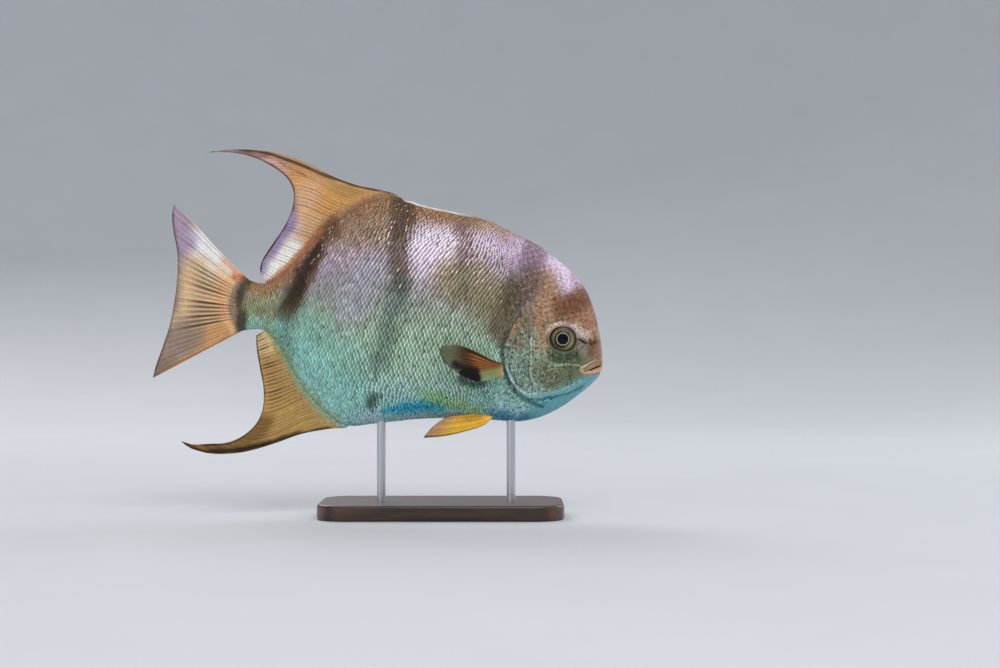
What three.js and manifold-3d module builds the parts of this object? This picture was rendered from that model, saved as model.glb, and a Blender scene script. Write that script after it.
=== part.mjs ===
// Atlantic spadefish, Chaetodipterus faber: a still, life-size display model on a low stand.
// Millimetres, +Z up, +X towards the snout, origin at the centre of the stand base's underside.
//
// The fish is drawn in its own frame first. A place on it is [back, up, out]: back is the distance
// behind the snout, up the height above the body's long axis, and out the distance to the fish's left.
// The whole fish is then pitched nose down and lifted onto the rods.
import * as THREE from "three";
import { LoftGeometry } from "three/addons/geometries/LoftGeometry.js";
import { mergeVertices } from "three/addons/utils/BufferGeometryUtils.js";
import Module from "manifold-3d";

const wasm = await Module();
wasm.setup();

// ---------------------------------------------------------------- driving dimensions
const pose = { noseDownDeg: 8, snoutAhead: 146, snoutHeight: 146 };
const gap = 0.3; // between neighbouring pieces
const stand = {
  length: 220,
  width: 112,
  thickness: 14,
  cornerRadius: 26,
  edgeRound: 2.5,
  rodRadius: 4,
  rodBacks: [74, 190], // how far behind the snout each rod meets the belly
  rodSocketDepth: 6,
};
const colours = {
  flank: 0x9fa8a0,
  head: 0x9a8272,
  fin: 0xc08a4e,
  lip: 0xc7a184,
  eye: 0x2a2618,
  wood: 0x3b2a20,
  steel: 0xb9bcc0,
};

// The body's outline and plan, as [back, value] pairs. Each is read through a smooth curve.
const backLine = curveThrough([
  [-1.4, -9], [0.4, 0], [3, 10], [6, 20], [10.5, 32], [17, 46], [25, 58.5], [34, 67.5],
  [50, 78.5], [70, 89.5], [98, 99.5], [120, 105], [150, 107.8], [180, 110], [198, 113.5], [212, 114],
  [228, 108], [246, 95], [264, 77], [281, 53], [296, 34], [306, 25], [316, 21.5], [327, 23],
]);
const bellyLine = curveThrough([
  [-1.4, -14.5], [1, -20.5], [8, -30], [16, -38.5], [26, -48.5], [38, -58], [52, -66],
  [68, -71], [88, -72.6], [120, -75], [156, -81], [200, -92], [218, -96], [233, -91.5],
  [250, -80], [268, -63], [285, -41], [298, -26], [309, -20.8], [327, -24.5],
]);
const halfWidthLine = curveThrough([
  [-1.4, 4], [1, 7.5], [4, 10.2], [10, 13], [22, 17], [40, 21.6], [62, 25.6], [90, 28.4],
  [120, 29.2], [155, 28], [195, 24], [230, 18.6], [262, 13], [290, 8.8], [310, 6.6], [327, 5.2],
]);
const widestLine = curveThrough([[-1.4, -12], [10, -10], [40, -4], [90, 4], [200, 6], [327, 0]]);
const ridgeSharpness = 1.22; // above 1 the section narrows towards the back and the keel
const bodySteps = { around: 26, front: -1.4, rear: 326 };
const smallest = 0.4; // a ring thinned past nothing keeps this half size

// ---------------------------------------------------------------- helpers

// A smooth curve through [position, value] pairs, read at any position.
function curveThrough(pairs) {
  const last = pairs.length - 1;
  const slope = (k) => {
    const before = pairs[Math.max(k - 1, 0)];
    const after = pairs[Math.min(k + 1, last)];
    return (after[1] - before[1]) / (after[0] - before[0]);
  };
  return (at) => {
    const held = THREE.MathUtils.clamp(at, pairs[0][0], pairs[last][0]);
    const next = pairs.findIndex(([position], k) => k > 0 && position >= held);
    const [x0, y0] = pairs[next - 1];
    const [x1, y1] = pairs[next];
    const width = x1 - x0;
    const t = (held - x0) / width;
    const rise = y1 - y0;
    const start = slope(next - 1) * width;
    const end = slope(next) * width;
    return y0 + t * start + t * t * (3 * rise - 2 * start - end) + t * t * t * (start + end - 2 * rise);
  };
}

// A place given as back, up and out, in the fish's own x, y and z.
const place = (back, up, out) => new THREE.Vector3(-back, out, up);

// An open curve through [back, up, out] places, read by its share of length from 0 to 1.
const lineThrough = (places) => new THREE.CatmullRomCurve3(places.map(([b, u, o = 0]) => place(b, u, o)));

// A closed geometry as a solid that can be joined and cut, with its faces turned outwards.
function solidOf(geometry) {
  const bare = new THREE.BufferGeometry();
  bare.setAttribute("position", geometry.attributes.position);
  bare.setIndex(geometry.index);
  const merged = mergeVertices(bare, 1e-4);
  const vertProperties = new Float32Array(merged.attributes.position.array);
  const triVerts = new Uint32Array(merged.index.array);
  const solid = new wasm.Manifold(new wasm.Mesh({ numProp: 3, vertProperties, triVerts }));
  if (solid.volume() > 0) return solid;
  return new wasm.Manifold(new wasm.Mesh({ numProp: 3, vertProperties, triVerts: triVerts.reverse() }));
}

// A plate with two faces. at(i, k) gives the two points, one on each face, where ray i is at step k.
function plateSolid(rays, steps, at) {
  const positions = [];
  const index = [];
  const id = (i, k, face) => 2 * (i * (steps + 1) + k) + face;
  const quad = (a, b, c, d) => index.push(a, b, c, a, c, d);
  for (let i = 0; i <= rays; i++) {
    for (let k = 0; k <= steps; k++) at(i, k).forEach((point) => positions.push(...point));
  }
  for (let i = 0; i < rays; i++) {
    for (let k = 0; k < steps; k++) {
      quad(id(i, k, 0), id(i + 1, k, 0), id(i + 1, k + 1, 0), id(i, k + 1, 0));
      quad(id(i, k + 1, 1), id(i + 1, k + 1, 1), id(i + 1, k, 1), id(i, k, 1));
    }
    quad(id(i, 0, 1), id(i + 1, 0, 1), id(i + 1, 0, 0), id(i, 0, 0));
    quad(id(i, steps, 0), id(i + 1, steps, 0), id(i + 1, steps, 1), id(i, steps, 1));
  }
  for (let k = 0; k < steps; k++) {
    quad(id(0, k, 0), id(0, k + 1, 0), id(0, k + 1, 1), id(0, k, 1));
    quad(id(rays, k, 1), id(rays, k + 1, 1), id(rays, k + 1, 0), id(rays, k, 0));
  }
  const geometry = new THREE.BufferGeometry();
  geometry.setAttribute("position", new THREE.Float32BufferAttribute(positions, 3));
  geometry.setIndex(index);
  return solidOf(geometry);
}

// A solid as a named mesh. Crumbs that a cut leaves behind are dropped.
function meshOf(name, solid, colour, finish = {}) {
  const largest = solid.decompose().reduce((a, b) => (b.volume() > a.volume() ? b : a));
  const { numProp, numVert, vertProperties, triVerts } = largest.getMesh();
  const positions = new Float32Array(numVert * 3);
  for (let i = 0; i < numVert; i++) {
    positions.set(vertProperties.subarray(i * numProp, i * numProp + 3), i * 3);
  }
  const geometry = new THREE.BufferGeometry();
  geometry.setAttribute("position", new THREE.BufferAttribute(positions, 3));
  geometry.setIndex(new THREE.BufferAttribute(triVerts, 1));
  geometry.computeVertexNormals();
  const material = new THREE.MeshStandardMaterial({ color: colour, roughness: 0.4, metalness: 0, ...finish });
  const mesh = new THREE.Mesh(geometry, material);
  mesh.name = name;
  return mesh;
}

// A [back, up] outline pushed right through the fish from side to side.
function cutter(outline, sideways = 80) {
  const shape = new THREE.Shape(outline.map(([back, up]) => new THREE.Vector2(-back, up)));
  const geometry = new THREE.ExtrudeGeometry(shape, { depth: 2 * sideways, bevelEnabled: false });
  geometry.rotateX(Math.PI / 2);
  geometry.translate(0, sideways, 0);
  return solidOf(geometry);
}

// A closed [back, up] outline with its sides moved outwards by a distance.
function grown(outline, distance) {
  const corners = outline.map((corner) => new THREE.Vector2(...corner));
  const turning = THREE.ShapeUtils.isClockWise(corners) ? -1 : 1;
  return corners.map((corner, k) => {
    const before = corner.clone().sub(corners.at(k - 1)).normalize();
    const after = corners[(k + 1) % corners.length].clone().sub(corner).normalize();
    const stretch = (turning * distance) / (1 + before.dot(after));
    return [corner.x + (before.y + after.y) * stretch, corner.y - (before.x + after.x) * stretch];
  });
}

// ---------------------------------------------------------------- body

// Stations crowd together at the blunt snout and at the tail stalk.
function bodyStations() {
  const { front, rear } = bodySteps;
  const stations = [];
  for (let back = front; back < rear; back += THREE.MathUtils.clamp(0.9 + (back - front) * 0.16, 1, 11)) {
    stations.push(back);
  }
  stations.push(rear);
  return stations;
}

// One ring round the body. Thicker grows the body on every side, or thins it when negative.
function bodyRing(back, thicker) {
  const widest = widestLine(back);
  const rise = Math.max(backLine(back) + thicker - widest, smallest);
  const drop = Math.max(widest - bellyLine(back) + thicker, smallest);
  const half = Math.max(halfWidthLine(back) + thicker, smallest);
  const ring = [];
  for (let k = 0; k < bodySteps.around; k++) {
    const angle = (2 * Math.PI * k) / bodySteps.around;
    const side = Math.cos(angle);
    const up = Math.sin(angle);
    const out = -half * Math.sign(side) * Math.abs(side) ** ridgeSharpness;
    ring.push(place(back, widest + up * (up > 0 ? rise : drop), out));
  }
  return ring;
}

function bodySolid(thicker = 0) {
  const rings = bodyStations().map((back) => bodyRing(back, thicker));
  return solidOf(new LoftGeometry(rings, { capStart: true, capEnd: true }));
}

// ---------------------------------------------------------------- fins

// A fin is a fan of rays. They start along base, inside the body, and end along edge. The first ray
// follows lead, the fin's leading edge, and the others straighten towards the last. spread says how the
// ray ends are shared along the edge, and across is the direction of the fin's thickness, as [back, up, out].
function finSolid({ base, edge, lead, spread, rays, steps, rootThickness, rimThickness, across, wave }) {
  const baseLine = lineThrough(base);
  const edgeLine = lineThrough(edge);
  const leadLine = lineThrough(lead);
  const through = place(...across).normalize();
  return plateSolid(rays, steps, (i, k) => {
    const [u, v] = [i / rays, k / steps];
    const straight = baseLine.points[0].clone().lerp(edgeLine.points[0], v);
    const bow = leadLine.getPointAt(v).sub(straight).multiplyScalar((1 - u) ** 2);
    const spot = baseLine.getPointAt(u).lerp(edgeLine.getPointAt(u ** spread), v).add(bow);
    const half = (rimThickness + (rootThickness - rimThickness) * (1 - v) ** 3) / 2;
    return [-half, half].map((half) => spot.clone().addScaledVector(through, wave(u, v) + half));
  });
}

const dorsalTip = [381, 132];
const analTip = [367, -130];
const softDorsal = {
  base: [[193, 106], [213, 105], [232, 100], [250, 87], [268, 69], [284, 47], [299, 28], [309, 18]],
  edge: [dorsalTip, [360, 134.8], [341, 133.7], [322, 128], [306, 119], [298.5, 108], [297.3, 92],
    [302, 75], [312, 54], [317.5, 41], [318, 33], [316.5, 27]],
  lead: [[193, 106], [196, 113.5], [203, 118], [220, 120], [239, 120.3], [267, 124.7], [296, 133], [324, 138.6],
    [342, 139.2], [361, 137.4], dorsalTip],
  spread: 0.62,
  rays: 15,
  steps: 9,
  rootThickness: 6,
  rimThickness: 1,
  across: [0, 0, 1],
  wave: (u, v) => 5 * v * v * (1 - u),
};
const anal = {
  base: [[217, -88], [237, -84], [254, -73], [272, -56], [289, -34], [299, -22], [306, -16]],
  edge: [analTip, [356, -131.6], [341, -129], [326, -126], [313, -118.5], [302, -105.5], [298, -92],
    [299.5, -74], [306, -54], [311.5, -36], [313, -26]],
  lead: [[217, -88], [219, -97.6], [235, -101.5], [262, -109.5], [288, -121.3], [313, -131.2],
    [331, -135.5], [349, -136.9], [359, -135], analTip],
  spread: 0.62,
  rays: 15,
  steps: 9,
  rootThickness: 6,
  rimThickness: 1,
  across: [0, 0, 1],
  wave: (u, v) => -4 * v * v * (1 - u),
};
const caudal = {
  base: [[323, 22.5], [325, 0], [323, -25]],
  edge: [[403.4, 80.7], [404, 72], [401, 57], [395.5, 40], [392.6, 22], [391.7, 4], [391.8, -10],
    [392.8, -28], [396, -48], [399.6, -67], [400.5, -77.6]],
  lead: [[323, 22.5], [346, 38], [367, 54], [387.5, 70.5], [403.4, 80.7]],
  spread: 1,
  rays: 14,
  steps: 7,
  rootThickness: 9,
  rimThickness: 1,
  across: [0, 0, 1],
  wave: (u, v) => 5 * v * v * Math.sin(Math.PI * u),
};

// The paired fins are given for the left side. The right ones are their mirror images.
const pectoral = {
  base: [[84, -21, 22], [85, -26, 22], [86, -31, 22]],
  edge: [[143, -11.5, 47], [144.5, -15, 47], [142, -23, 46], [132, -30.5, 43], [118, -37.5, 39],
    [106, -38.5, 36], [97, -35.5, 33]],
  lead: [[84, -21, 22], [98, -18.5, 31], [115, -12.5, 38], [130, -9.2, 43], [143, -11.5, 47]],
  spread: 0.9,
  rays: 8,
  steps: 6,
  rootThickness: 4,
  rimThickness: 0.9,
  across: [-0.4, 0, 1],
  wave: (u, v) => -2 * v * v,
};
const pelvic = {
  base: [[90, -68, 5], [94, -67, 4.5], [99, -66, 4]],
  edge: [[150, -96, 19], [146, -89.5, 18.5], [139, -81.5, 16], [130, -74.5, 12], [117, -71, 8], [108, -69, 5]],
  lead: [[90, -68, 5], [97, -77, 9], [114, -85.5, 13], [133, -92.3, 16.5], [150, -96, 19]],
  spread: 0.8,
  rays: 7,
  steps: 6,
  rootThickness: 3.6,
  rimThickness: 0.9,
  across: [-0.3, 0.2, 1],
  wave: (u, v) => 2 * v * v * u,
};
const folded = { // the spines of the first dorsal fin lie folded along the back
  from: 124,
  to: 196.5,
  spines: 9,
  height: 3,
  thickness: 5,
};

// The folded spines make a low stepped crest over the back.
function foldedSpines() {
  const rings = [];
  const stepsPerSpine = 2;
  const count = folded.spines * stepsPerSpine;
  for (let i = 0; i <= count; i++) {
    const share = i / count;
    const back = THREE.MathUtils.lerp(folded.from, folded.to, share);
    const swell = Math.sin(Math.PI * Math.min(share * 1.6 + 0.08, 0.5)) * Math.min(1, (1 - share) * 6 + 0.25);
    const notch = 1 - 0.16 * ((i % stepsPerSpine) / stepsPerSpine);
    const top = backLine(back) + folded.height * swell * notch;
    const foot = backLine(back) - 6;
    const half = folded.thickness / 2;
    rings.push([
      place(back, foot, -half),
      place(back, top - 1.4, -half * 0.8),
      place(back, top, -half * 0.25),
      place(back, top, half * 0.25),
      place(back, top - 1.4, half * 0.8),
      place(back, foot, half),
    ]);
  }
  return solidOf(new LoftGeometry(rings, { capStart: true, capEnd: true }));
}

// ---------------------------------------------------------------- head

const eye = { back: 38.7, up: 9, radius: 12.5, depth: 6.4, sink: 3.4 };
const lipProud = 0.8;
const gillRear = [[83.5, 22], [88, 8], [90, -6], [88, -15], [83, -26], [76, -38.5], [66, -47], [56, -50]];
const gillFront = [[50, -42], [57, -38.5], [62.5, -28], [66, -14], [67.5, 0], [70, 12], [76, 20]];
const gillPlate = { depth: 4, proud: 0.7 };
const upperLip = [[-6, -1], [2.5, 1], [9, -5], [14, -9.2], [19, -12], [22.5, -16.5], [20.5, -19.5],
  [14, -17], [6, -13.6], [-6, -9.8]];
const lowerJaw = [[-6, -10.6], [6, -14.5], [14, -17.9], [20.5, -20.5], [24, -28], [25, -40], [23, -60], [-6, -60]];
const headOutline = [[-20, 160], [80, 160], ...gillRear, [50, -54], [46, -90], [-20, -90]];
const stalkOutline = [[300, 60], [340, 60], [340, -60], [300, -60]];

function eyeCentre(side) {
  const section = bodyRing(eye.back, 0);
  const nearest = section.reduce((a, b) => (Math.abs(b.z - eye.up) < Math.abs(a.z - eye.up) ? b : a));
  return place(eye.back, eye.up, side * (Math.abs(nearest.y) - eye.sink));
}

function eyeBall(side, thicker = 0) {
  const ball = new THREE.SphereGeometry(1, 16, 10);
  ball.scale(eye.radius + thicker, eye.depth + thicker, eye.radius + thicker);
  ball.translate(...eyeCentre(side));
  return solidOf(ball);
}

// ---------------------------------------------------------------- the fish, parted along its own lines

const sides = { right: -1, left: 1 };
const body = bodySolid();
const clearance = bodySolid(gap);
let head = body.intersect(cutter(headOutline));
const stalk = body.intersect(cutter(stalkOutline));
let trunk = body.subtract(cutter(grown(headOutline, gap))).subtract(cutter(grown(stalkOutline, gap)));

const gillOutline = [...gillRear, ...gillFront];
const gillSheet = bodySolid(gillPlate.proud).subtract(bodySolid(-gillPlate.depth));
const gillShell = gillSheet.intersect(cutter(gillOutline));
const gillBed = bodySolid(2).subtract(bodySolid(-gillPlate.depth - gap));
const gillSeat = gillBed.intersect(cutter(grown(gillOutline, gap)));
head = head.subtract(gillSeat);
trunk = trunk.subtract(gillSeat);

const lips = bodySolid(lipProud);
const lipUpper = lips.intersect(cutter(upperLip));
const jawLower = lips.intersect(cutter(lowerJaw));
head = head.subtract(cutter(grown(upperLip, gap))).subtract(cutter(grown(lowerJaw, gap)));
for (const side of Object.values(sides)) head = head.subtract(eyeBall(side, gap));

const fish = new THREE.Group();
const add = (...args) => fish.add(meshOf(...args));
add("head", head, colours.head);
add("upper_lip", lipUpper, colours.lip);
add("lower_jaw", jawLower, colours.lip);
add("trunk", trunk, colours.flank);
add("tail_stalk", stalk, colours.flank);
add("dorsal_fin_spines", foldedSpines().subtract(clearance), colours.flank);
add("dorsal_fin", finSolid(softDorsal).subtract(clearance), colours.fin);
add("anal_fin", finSolid(anal).subtract(clearance), colours.fin);
add("tail_fin", finSolid(caudal).subtract(clearance), colours.fin);

const wide = 80;
const sideOf = (solid, side) => (side > 0 ? solid : solid.mirror([0, 1, 0]));
for (const [name, side] of Object.entries(sides)) {
  const half = solidOf(new THREE.BoxGeometry(600, wide, 600).translate(0, (side * wide) / 2, 0));
  const pectoralFin = sideOf(finSolid(pectoral), side).subtract(clearance).subtract(gillSeat);
  const pelvicFin = sideOf(finSolid(pelvic), side).subtract(clearance);
  add(`gill_cover_${name}`, gillShell.intersect(half), colours.head);
  add(`eye_${name}`, eyeBall(side), colours.eye, { roughness: 0.05 });
  add(`pectoral_fin_${name}`, pectoralFin, colours.fin);
  add(`pelvic_fin_${name}`, pelvicFin, colours.fin);
}

fish.position.set(pose.snoutAhead, 0, pose.snoutHeight);
fish.rotation.y = THREE.MathUtils.degToRad(pose.noseDownDeg);

// ---------------------------------------------------------------- the stand

function standBase() {
  const { length, width, thickness, cornerRadius, edgeRound } = stand;
  const [x, y, r] = [length / 2 - edgeRound, width / 2 - edgeRound, cornerRadius - edgeRound];
  const shape = new THREE.Shape();
  shape.moveTo(-x + r, -y);
  shape.lineTo(x - r, -y);
  shape.absarc(x - r, -y + r, r, -Math.PI / 2, 0);
  shape.lineTo(x, y - r);
  shape.absarc(x - r, y - r, r, 0, Math.PI / 2);
  shape.lineTo(-x + r, y);
  shape.absarc(-x + r, y - r, r, Math.PI / 2, Math.PI);
  shape.lineTo(-x, -y + r);
  shape.absarc(-x + r, -y + r, r, Math.PI, 1.5 * Math.PI);
  const geometry = new THREE.ExtrudeGeometry(shape, {
    depth: thickness - 2 * edgeRound,
    bevelThickness: edgeRound,
    bevelSize: edgeRound,
    bevelSegments: 2,
    curveSegments: 4,
  });
  geometry.translate(0, 0, edgeRound);
  return solidOf(geometry);
}

function standRod(back, thicker, below, above) {
  const rod = new THREE.CylinderGeometry(stand.rodRadius + thicker, stand.rodRadius + thicker, above - below, 24);
  rod.rotateX(Math.PI / 2);
  const belly = fish.localToWorld(place(back, bellyLine(back), 0));
  rod.translate(belly.x, 0, (above + below) / 2);
  return solidOf(rod);
}

const display = new THREE.Group();
fish.updateMatrixWorld(true);
const raised = clearance.transform(fish.matrixWorld.elements);
const socketFloor = stand.thickness - stand.rodSocketDepth;
let base = standBase();
stand.rodBacks.forEach((back, i) => {
  base = base.subtract(standRod(back, gap, socketFloor - gap, 2 * stand.thickness));
  const rod = standRod(back, 0, socketFloor, pose.snoutHeight).subtract(raised);
  display.add(meshOf(`stand_rod_${i === 0 ? "front" : "rear"}`, rod, colours.steel, { metalness: 1 }));
});
display.add(meshOf("stand_base", base, colours.wood));

const model = new THREE.Group();
model.add(fish, display);
export default model;
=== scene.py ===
import math

import bmesh
import bpy
import numpy as np
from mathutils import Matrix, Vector


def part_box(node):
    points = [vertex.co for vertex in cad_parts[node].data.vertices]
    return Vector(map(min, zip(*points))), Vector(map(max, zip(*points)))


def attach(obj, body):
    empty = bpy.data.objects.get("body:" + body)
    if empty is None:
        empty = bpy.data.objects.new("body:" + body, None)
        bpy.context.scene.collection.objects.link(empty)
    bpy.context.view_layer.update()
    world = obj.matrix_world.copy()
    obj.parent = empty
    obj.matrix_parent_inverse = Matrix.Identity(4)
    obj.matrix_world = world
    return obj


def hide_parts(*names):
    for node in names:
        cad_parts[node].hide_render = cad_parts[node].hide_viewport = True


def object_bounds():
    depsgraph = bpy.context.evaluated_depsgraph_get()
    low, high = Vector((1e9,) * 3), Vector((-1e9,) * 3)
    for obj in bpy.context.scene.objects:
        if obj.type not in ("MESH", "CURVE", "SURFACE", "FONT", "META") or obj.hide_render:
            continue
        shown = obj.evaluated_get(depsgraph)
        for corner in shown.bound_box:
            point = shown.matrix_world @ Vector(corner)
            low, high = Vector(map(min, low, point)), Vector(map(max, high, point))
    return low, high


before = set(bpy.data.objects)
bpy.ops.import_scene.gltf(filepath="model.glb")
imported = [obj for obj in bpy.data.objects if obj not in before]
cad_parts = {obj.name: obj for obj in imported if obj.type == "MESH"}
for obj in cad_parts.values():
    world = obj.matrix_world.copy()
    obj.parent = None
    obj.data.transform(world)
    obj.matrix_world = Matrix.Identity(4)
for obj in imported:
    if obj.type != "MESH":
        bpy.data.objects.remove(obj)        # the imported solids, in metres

cadBox = [list(corner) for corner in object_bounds()]
mm = 0.001

# The fish is made in its own frame: back is the distance behind the snout, up the height above its long axis
# and out the distance to its left, all in mm. It is then pitched nose down over the stand.
pose = {"noseDown": 8, "snoutAhead": 146, "snoutHeight": 146}     # degrees, and mm from the stand's underside


def toWorld(places):
    back, up, out = np.moveaxis(np.asarray(places, float), -1, 0)
    tilt = math.radians(pose["noseDown"])
    x = pose["snoutAhead"] - back * math.cos(tilt) + up * math.sin(tilt)
    z = pose["snoutHeight"] + back * math.sin(tilt) + up * math.cos(tilt)
    return np.stack([x, out, z], -1) * mm


def smooth(t):
    t = np.clip(t, 0, 1)
    return t * t * (3 - 2 * t)


# Rises smoothly from 0 at low to 1 at high.
def between(x, low, high):
    return smooth((x - low) / (high - low))


# Rises to 1 about low and falls back to 0 about high.
def bump(x, low, high, soft):
    return between(x, low - soft, low + soft) * (1 - between(x, high - soft, high + soft))


# A rounded ridge about a middle distance, or a groove where its height is negative.
def swell(distance, middle, width, height):
    return height * np.exp(-(((distance - middle) / width) ** 2))


# A smooth curve through [position, value] pairs, read at any positions.
def curveThrough(pairs):
    places, values = np.array(pairs, float).T
    slopes = np.empty_like(values)
    slopes[1:-1] = (values[2:] - values[:-2]) / (places[2:] - places[:-2])
    slopes[[0, -1]] = np.diff(values)[[0, -1]] / np.diff(places)[[0, -1]]

    def read(at):
        held = np.clip(at, places[0], places[-1])
        k = np.clip(np.searchsorted(places, held) - 1, 0, len(places) - 2)
        width = places[k + 1] - places[k]
        t = (held - places[k]) / width
        rise = values[k + 1] - values[k]
        start, end = slopes[k] * width, slopes[k + 1] * width
        return values[k] + t * start + t**2 * (3 * rise - 2 * start - end) + t**3 * (start + end - 2 * rise)

    return read


# Values for any positions, along straight lines between [position, value] pairs.
def stepsThrough(pairs, at):
    return np.interp(at, *zip(*pairs))


# A rounded line through [back, up, out] points, read by the share of its length.
def lineThrough(points, steps=30):
    points = np.array([tuple(p) + (0,) * (3 - len(p)) for p in points], float)
    ends = np.vstack([2 * points[0] - points[1], points, 2 * points[-1] - points[-2]])
    t = np.linspace(0, 1, steps, endpoint=False)[:, None]
    dense = []
    for p0, p1, p2, p3 in zip(ends, ends[1:], ends[2:], ends[3:]):
        d0, d1, d2 = [math.sqrt(max(np.linalg.norm(b - a), 1e-4)) for a, b in ((p0, p1), (p1, p2), (p2, p3))]
        m1 = ((p1 - p0) / d0 - (p2 - p0) / (d0 + d1) + (p2 - p1) / d1) * d1
        m2 = ((p2 - p1) / d1 - (p3 - p1) / (d1 + d2) + (p3 - p2) / d2) * d1
        dense.append(p1 + t * m1 + t**2 * (3 * (p2 - p1) - 2 * m1 - m2) + t**3 * (2 * (p1 - p2) + m1 + m2))
    dense = np.vstack(dense + [points[-1:]])
    lengths = np.concatenate([[0], np.cumsum(np.linalg.norm(np.diff(dense, axis=0), axis=1))])
    lengths /= lengths[-1]
    return lambda share: np.stack([np.interp(share, lengths, dense[:, k]) for k in range(3)], -1)


# How far each place is from a [back, up] line, whether it is above it (+) or below, and its share along it.
def fromLine(path, back, up):
    path = np.array(path, float)
    steps = np.linalg.norm(np.diff(path, axis=0), axis=1)
    starts = np.concatenate([[0], np.cumsum(steps)])
    nearest = np.full(np.shape(back), 1e9)
    side = np.ones(np.shape(back))
    share = np.zeros(np.shape(back))
    for (x0, y0), (x1, y1), length, before in zip(path, path[1:], steps, starts):
        dx, dy = (x1 - x0) / length, (y1 - y0) / length
        t = np.clip((back - x0) * dx + (up - y0) * dy, 0, length)
        offX, offY = back - x0 - t * dx, up - y0 - t * dy
        distance = np.hypot(offX, offY)
        closer = distance < nearest - 1e-9
        nearest = np.where(closer, distance, nearest)
        side = np.where(closer, np.where(dx * offY - dy * offX >= 0, 1, -1), side)
        share = np.where(closer, (before + t) / starts[-1], share)
    return nearest, side, share


# Soft unevenness with features about size mm across, near -1 to 1.
def unevenness(back, up, size, seed):
    rng = np.random.default_rng(seed)
    total = 0
    waves = 7
    for _ in range(waves):
        turn, pace, phase = rng.uniform(0, 2 * math.pi), rng.uniform(0.6, 1.5) / size, rng.uniform(0, 7)
        total = total + np.sin(2 * math.pi * pace * (back * math.cos(turn) + up * math.sin(turn)) + phase)
    return total / math.sqrt(waves)


# The studio: places are in metres and powers in watts.
camera = {"place": (0.0528, -1.7597, 0.1648), "lens": 70, "sensorWidth": 36}
backdrop = {"floorRadius": 1.7, "sweep": 2.9, "wallTop": 3.4, "colour": "#c9ccd1"}
lights = [
    {"name": "key", "place": (0.5, -1.7, 1.9), "size": 1.3, "power": 27, "colour": (1.0, 0.985, 0.96)},
    {"name": "fill", "place": (-1.7, -1.9, 0.7), "size": 1.6, "power": 9, "colour": (0.93, 0.97, 1.0)},
    {"name": "rear", "place": (-0.9, 1.8, 1.7), "size": 1.3, "power": 22, "colour": (1.0, 0.98, 0.96)},
    {"name": "rim", "place": (1.9, 1.2, 1.0), "size": 1.1, "power": 14, "colour": (0.95, 0.97, 1.0)},
]
ambient = {"colour": (0.95, 0.97, 1.0, 1), "strength": 0.62}


# Colours are mixed as display values from 0 to 1 and turned linear when they go into a mesh or a material.
def hexColour(code):
    return np.array([int(code[k:k + 2], 16) / 255 for k in (1, 3, 5)])


def mixIn(colour, other, cover):
    return colour + (other - colour) * np.asarray(cover)[..., None]


def toLinear(colour):
    colour = np.clip(colour, 0, 1)
    return np.where(colour <= 0.04045, colour / 12.92, ((colour + 0.055) / 1.055) ** 2.4)


def rgba(code):
    return (*toLinear(hexColour(code)), 1)


def addObject(name, data):
    made = bpy.data.objects.new(name, data)
    bpy.context.scene.collection.objects.link(made)
    return made


def aimAt(made, target):
    made.rotation_euler = (Vector(target) - made.location).to_track_quat("-Z", "Y").to_euler()


def addCamera():
    data = bpy.data.cameras.new("camera")
    data.lens = camera["lens"]
    data.sensor_width = camera["sensorWidth"]
    made = addObject("camera", data)
    made.location = camera["place"]
    made.rotation_euler = (math.pi / 2, 0, 0)
    bpy.context.scene.camera = made


def addLights():
    middle = (cadBox[0][2] + cadBox[1][2]) / 2
    for light in lights:
        data = bpy.data.lights.new(light["name"], "AREA")
        data.size = light["size"]
        data.energy = light["power"]
        data.color = light["colour"]
        made = addObject(light["name"], data)
        made.location = light["place"]
        made.visible_camera = False
        aimAt(made, (0, 0, middle))
    world = bpy.data.worlds.new("studio")
    world.use_nodes = True
    world.node_tree.nodes["Background"].inputs["Color"].default_value = ambient["colour"]
    world.node_tree.nodes["Background"].inputs["Strength"].default_value = ambient["strength"]
    bpy.context.scene.world = world
    bpy.context.scene.view_settings.view_transform = "Standard"


# Gives each input of a node its value, or links it where the value is another node's output.
def fillInputs(tree, made, inputs):
    for key, value in inputs.items():
        if isinstance(value, bpy.types.NodeSocket):
            tree.links.new(value, made.inputs[key])
        else:
            made.inputs[key].default_value = value


def addNode(tree, kind, inputs=None, **settings):
    made = tree.nodes.new(kind)
    for key, value in settings.items():
        setattr(made, key, value)
    fillInputs(tree, made, inputs or {})
    return made


def calculate(tree, operation, first, second=0.0):
    return addNode(tree, "ShaderNodeMath", {0: first, 1: second}, operation=operation).outputs[0]


def mixValues(tree, factor, first, second):
    return addNode(tree, "ShaderNodeMix", {0: factor, 2: first, 3: second}).outputs[0]


def mixColours(tree, factor, first, second, blendType="MIX"):
    made = addNode(tree, "ShaderNodeMix", {0: factor, 6: first, 7: second},
                   data_type="RGBA", blend_type=blendType)
    return made.outputs[2]


# From 1 down to 0 and back for each whole turn.
def cosineWave(tree, turn):
    return calculate(tree, "MULTIPLY", calculate(tree, "ADD", calculate(tree, "COSINE", turn), 1.0), 0.5)


def stretched(tree, place, stretch):
    return addNode(tree, "ShaderNodeVectorMath", {0: place, 1: stretch}, operation="MULTIPLY").outputs[0]


def readAttribute(tree, name, output):
    return addNode(tree, "ShaderNodeAttribute", attribute_name=name).outputs[output]


def splitAttribute(tree, name):
    return addNode(tree, "ShaderNodeSeparateXYZ", {0: readAttribute(tree, name, "Vector")}).outputs


def objectPlace(tree):
    return addNode(tree, "ShaderNodeTexCoord").outputs["Object"]


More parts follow.
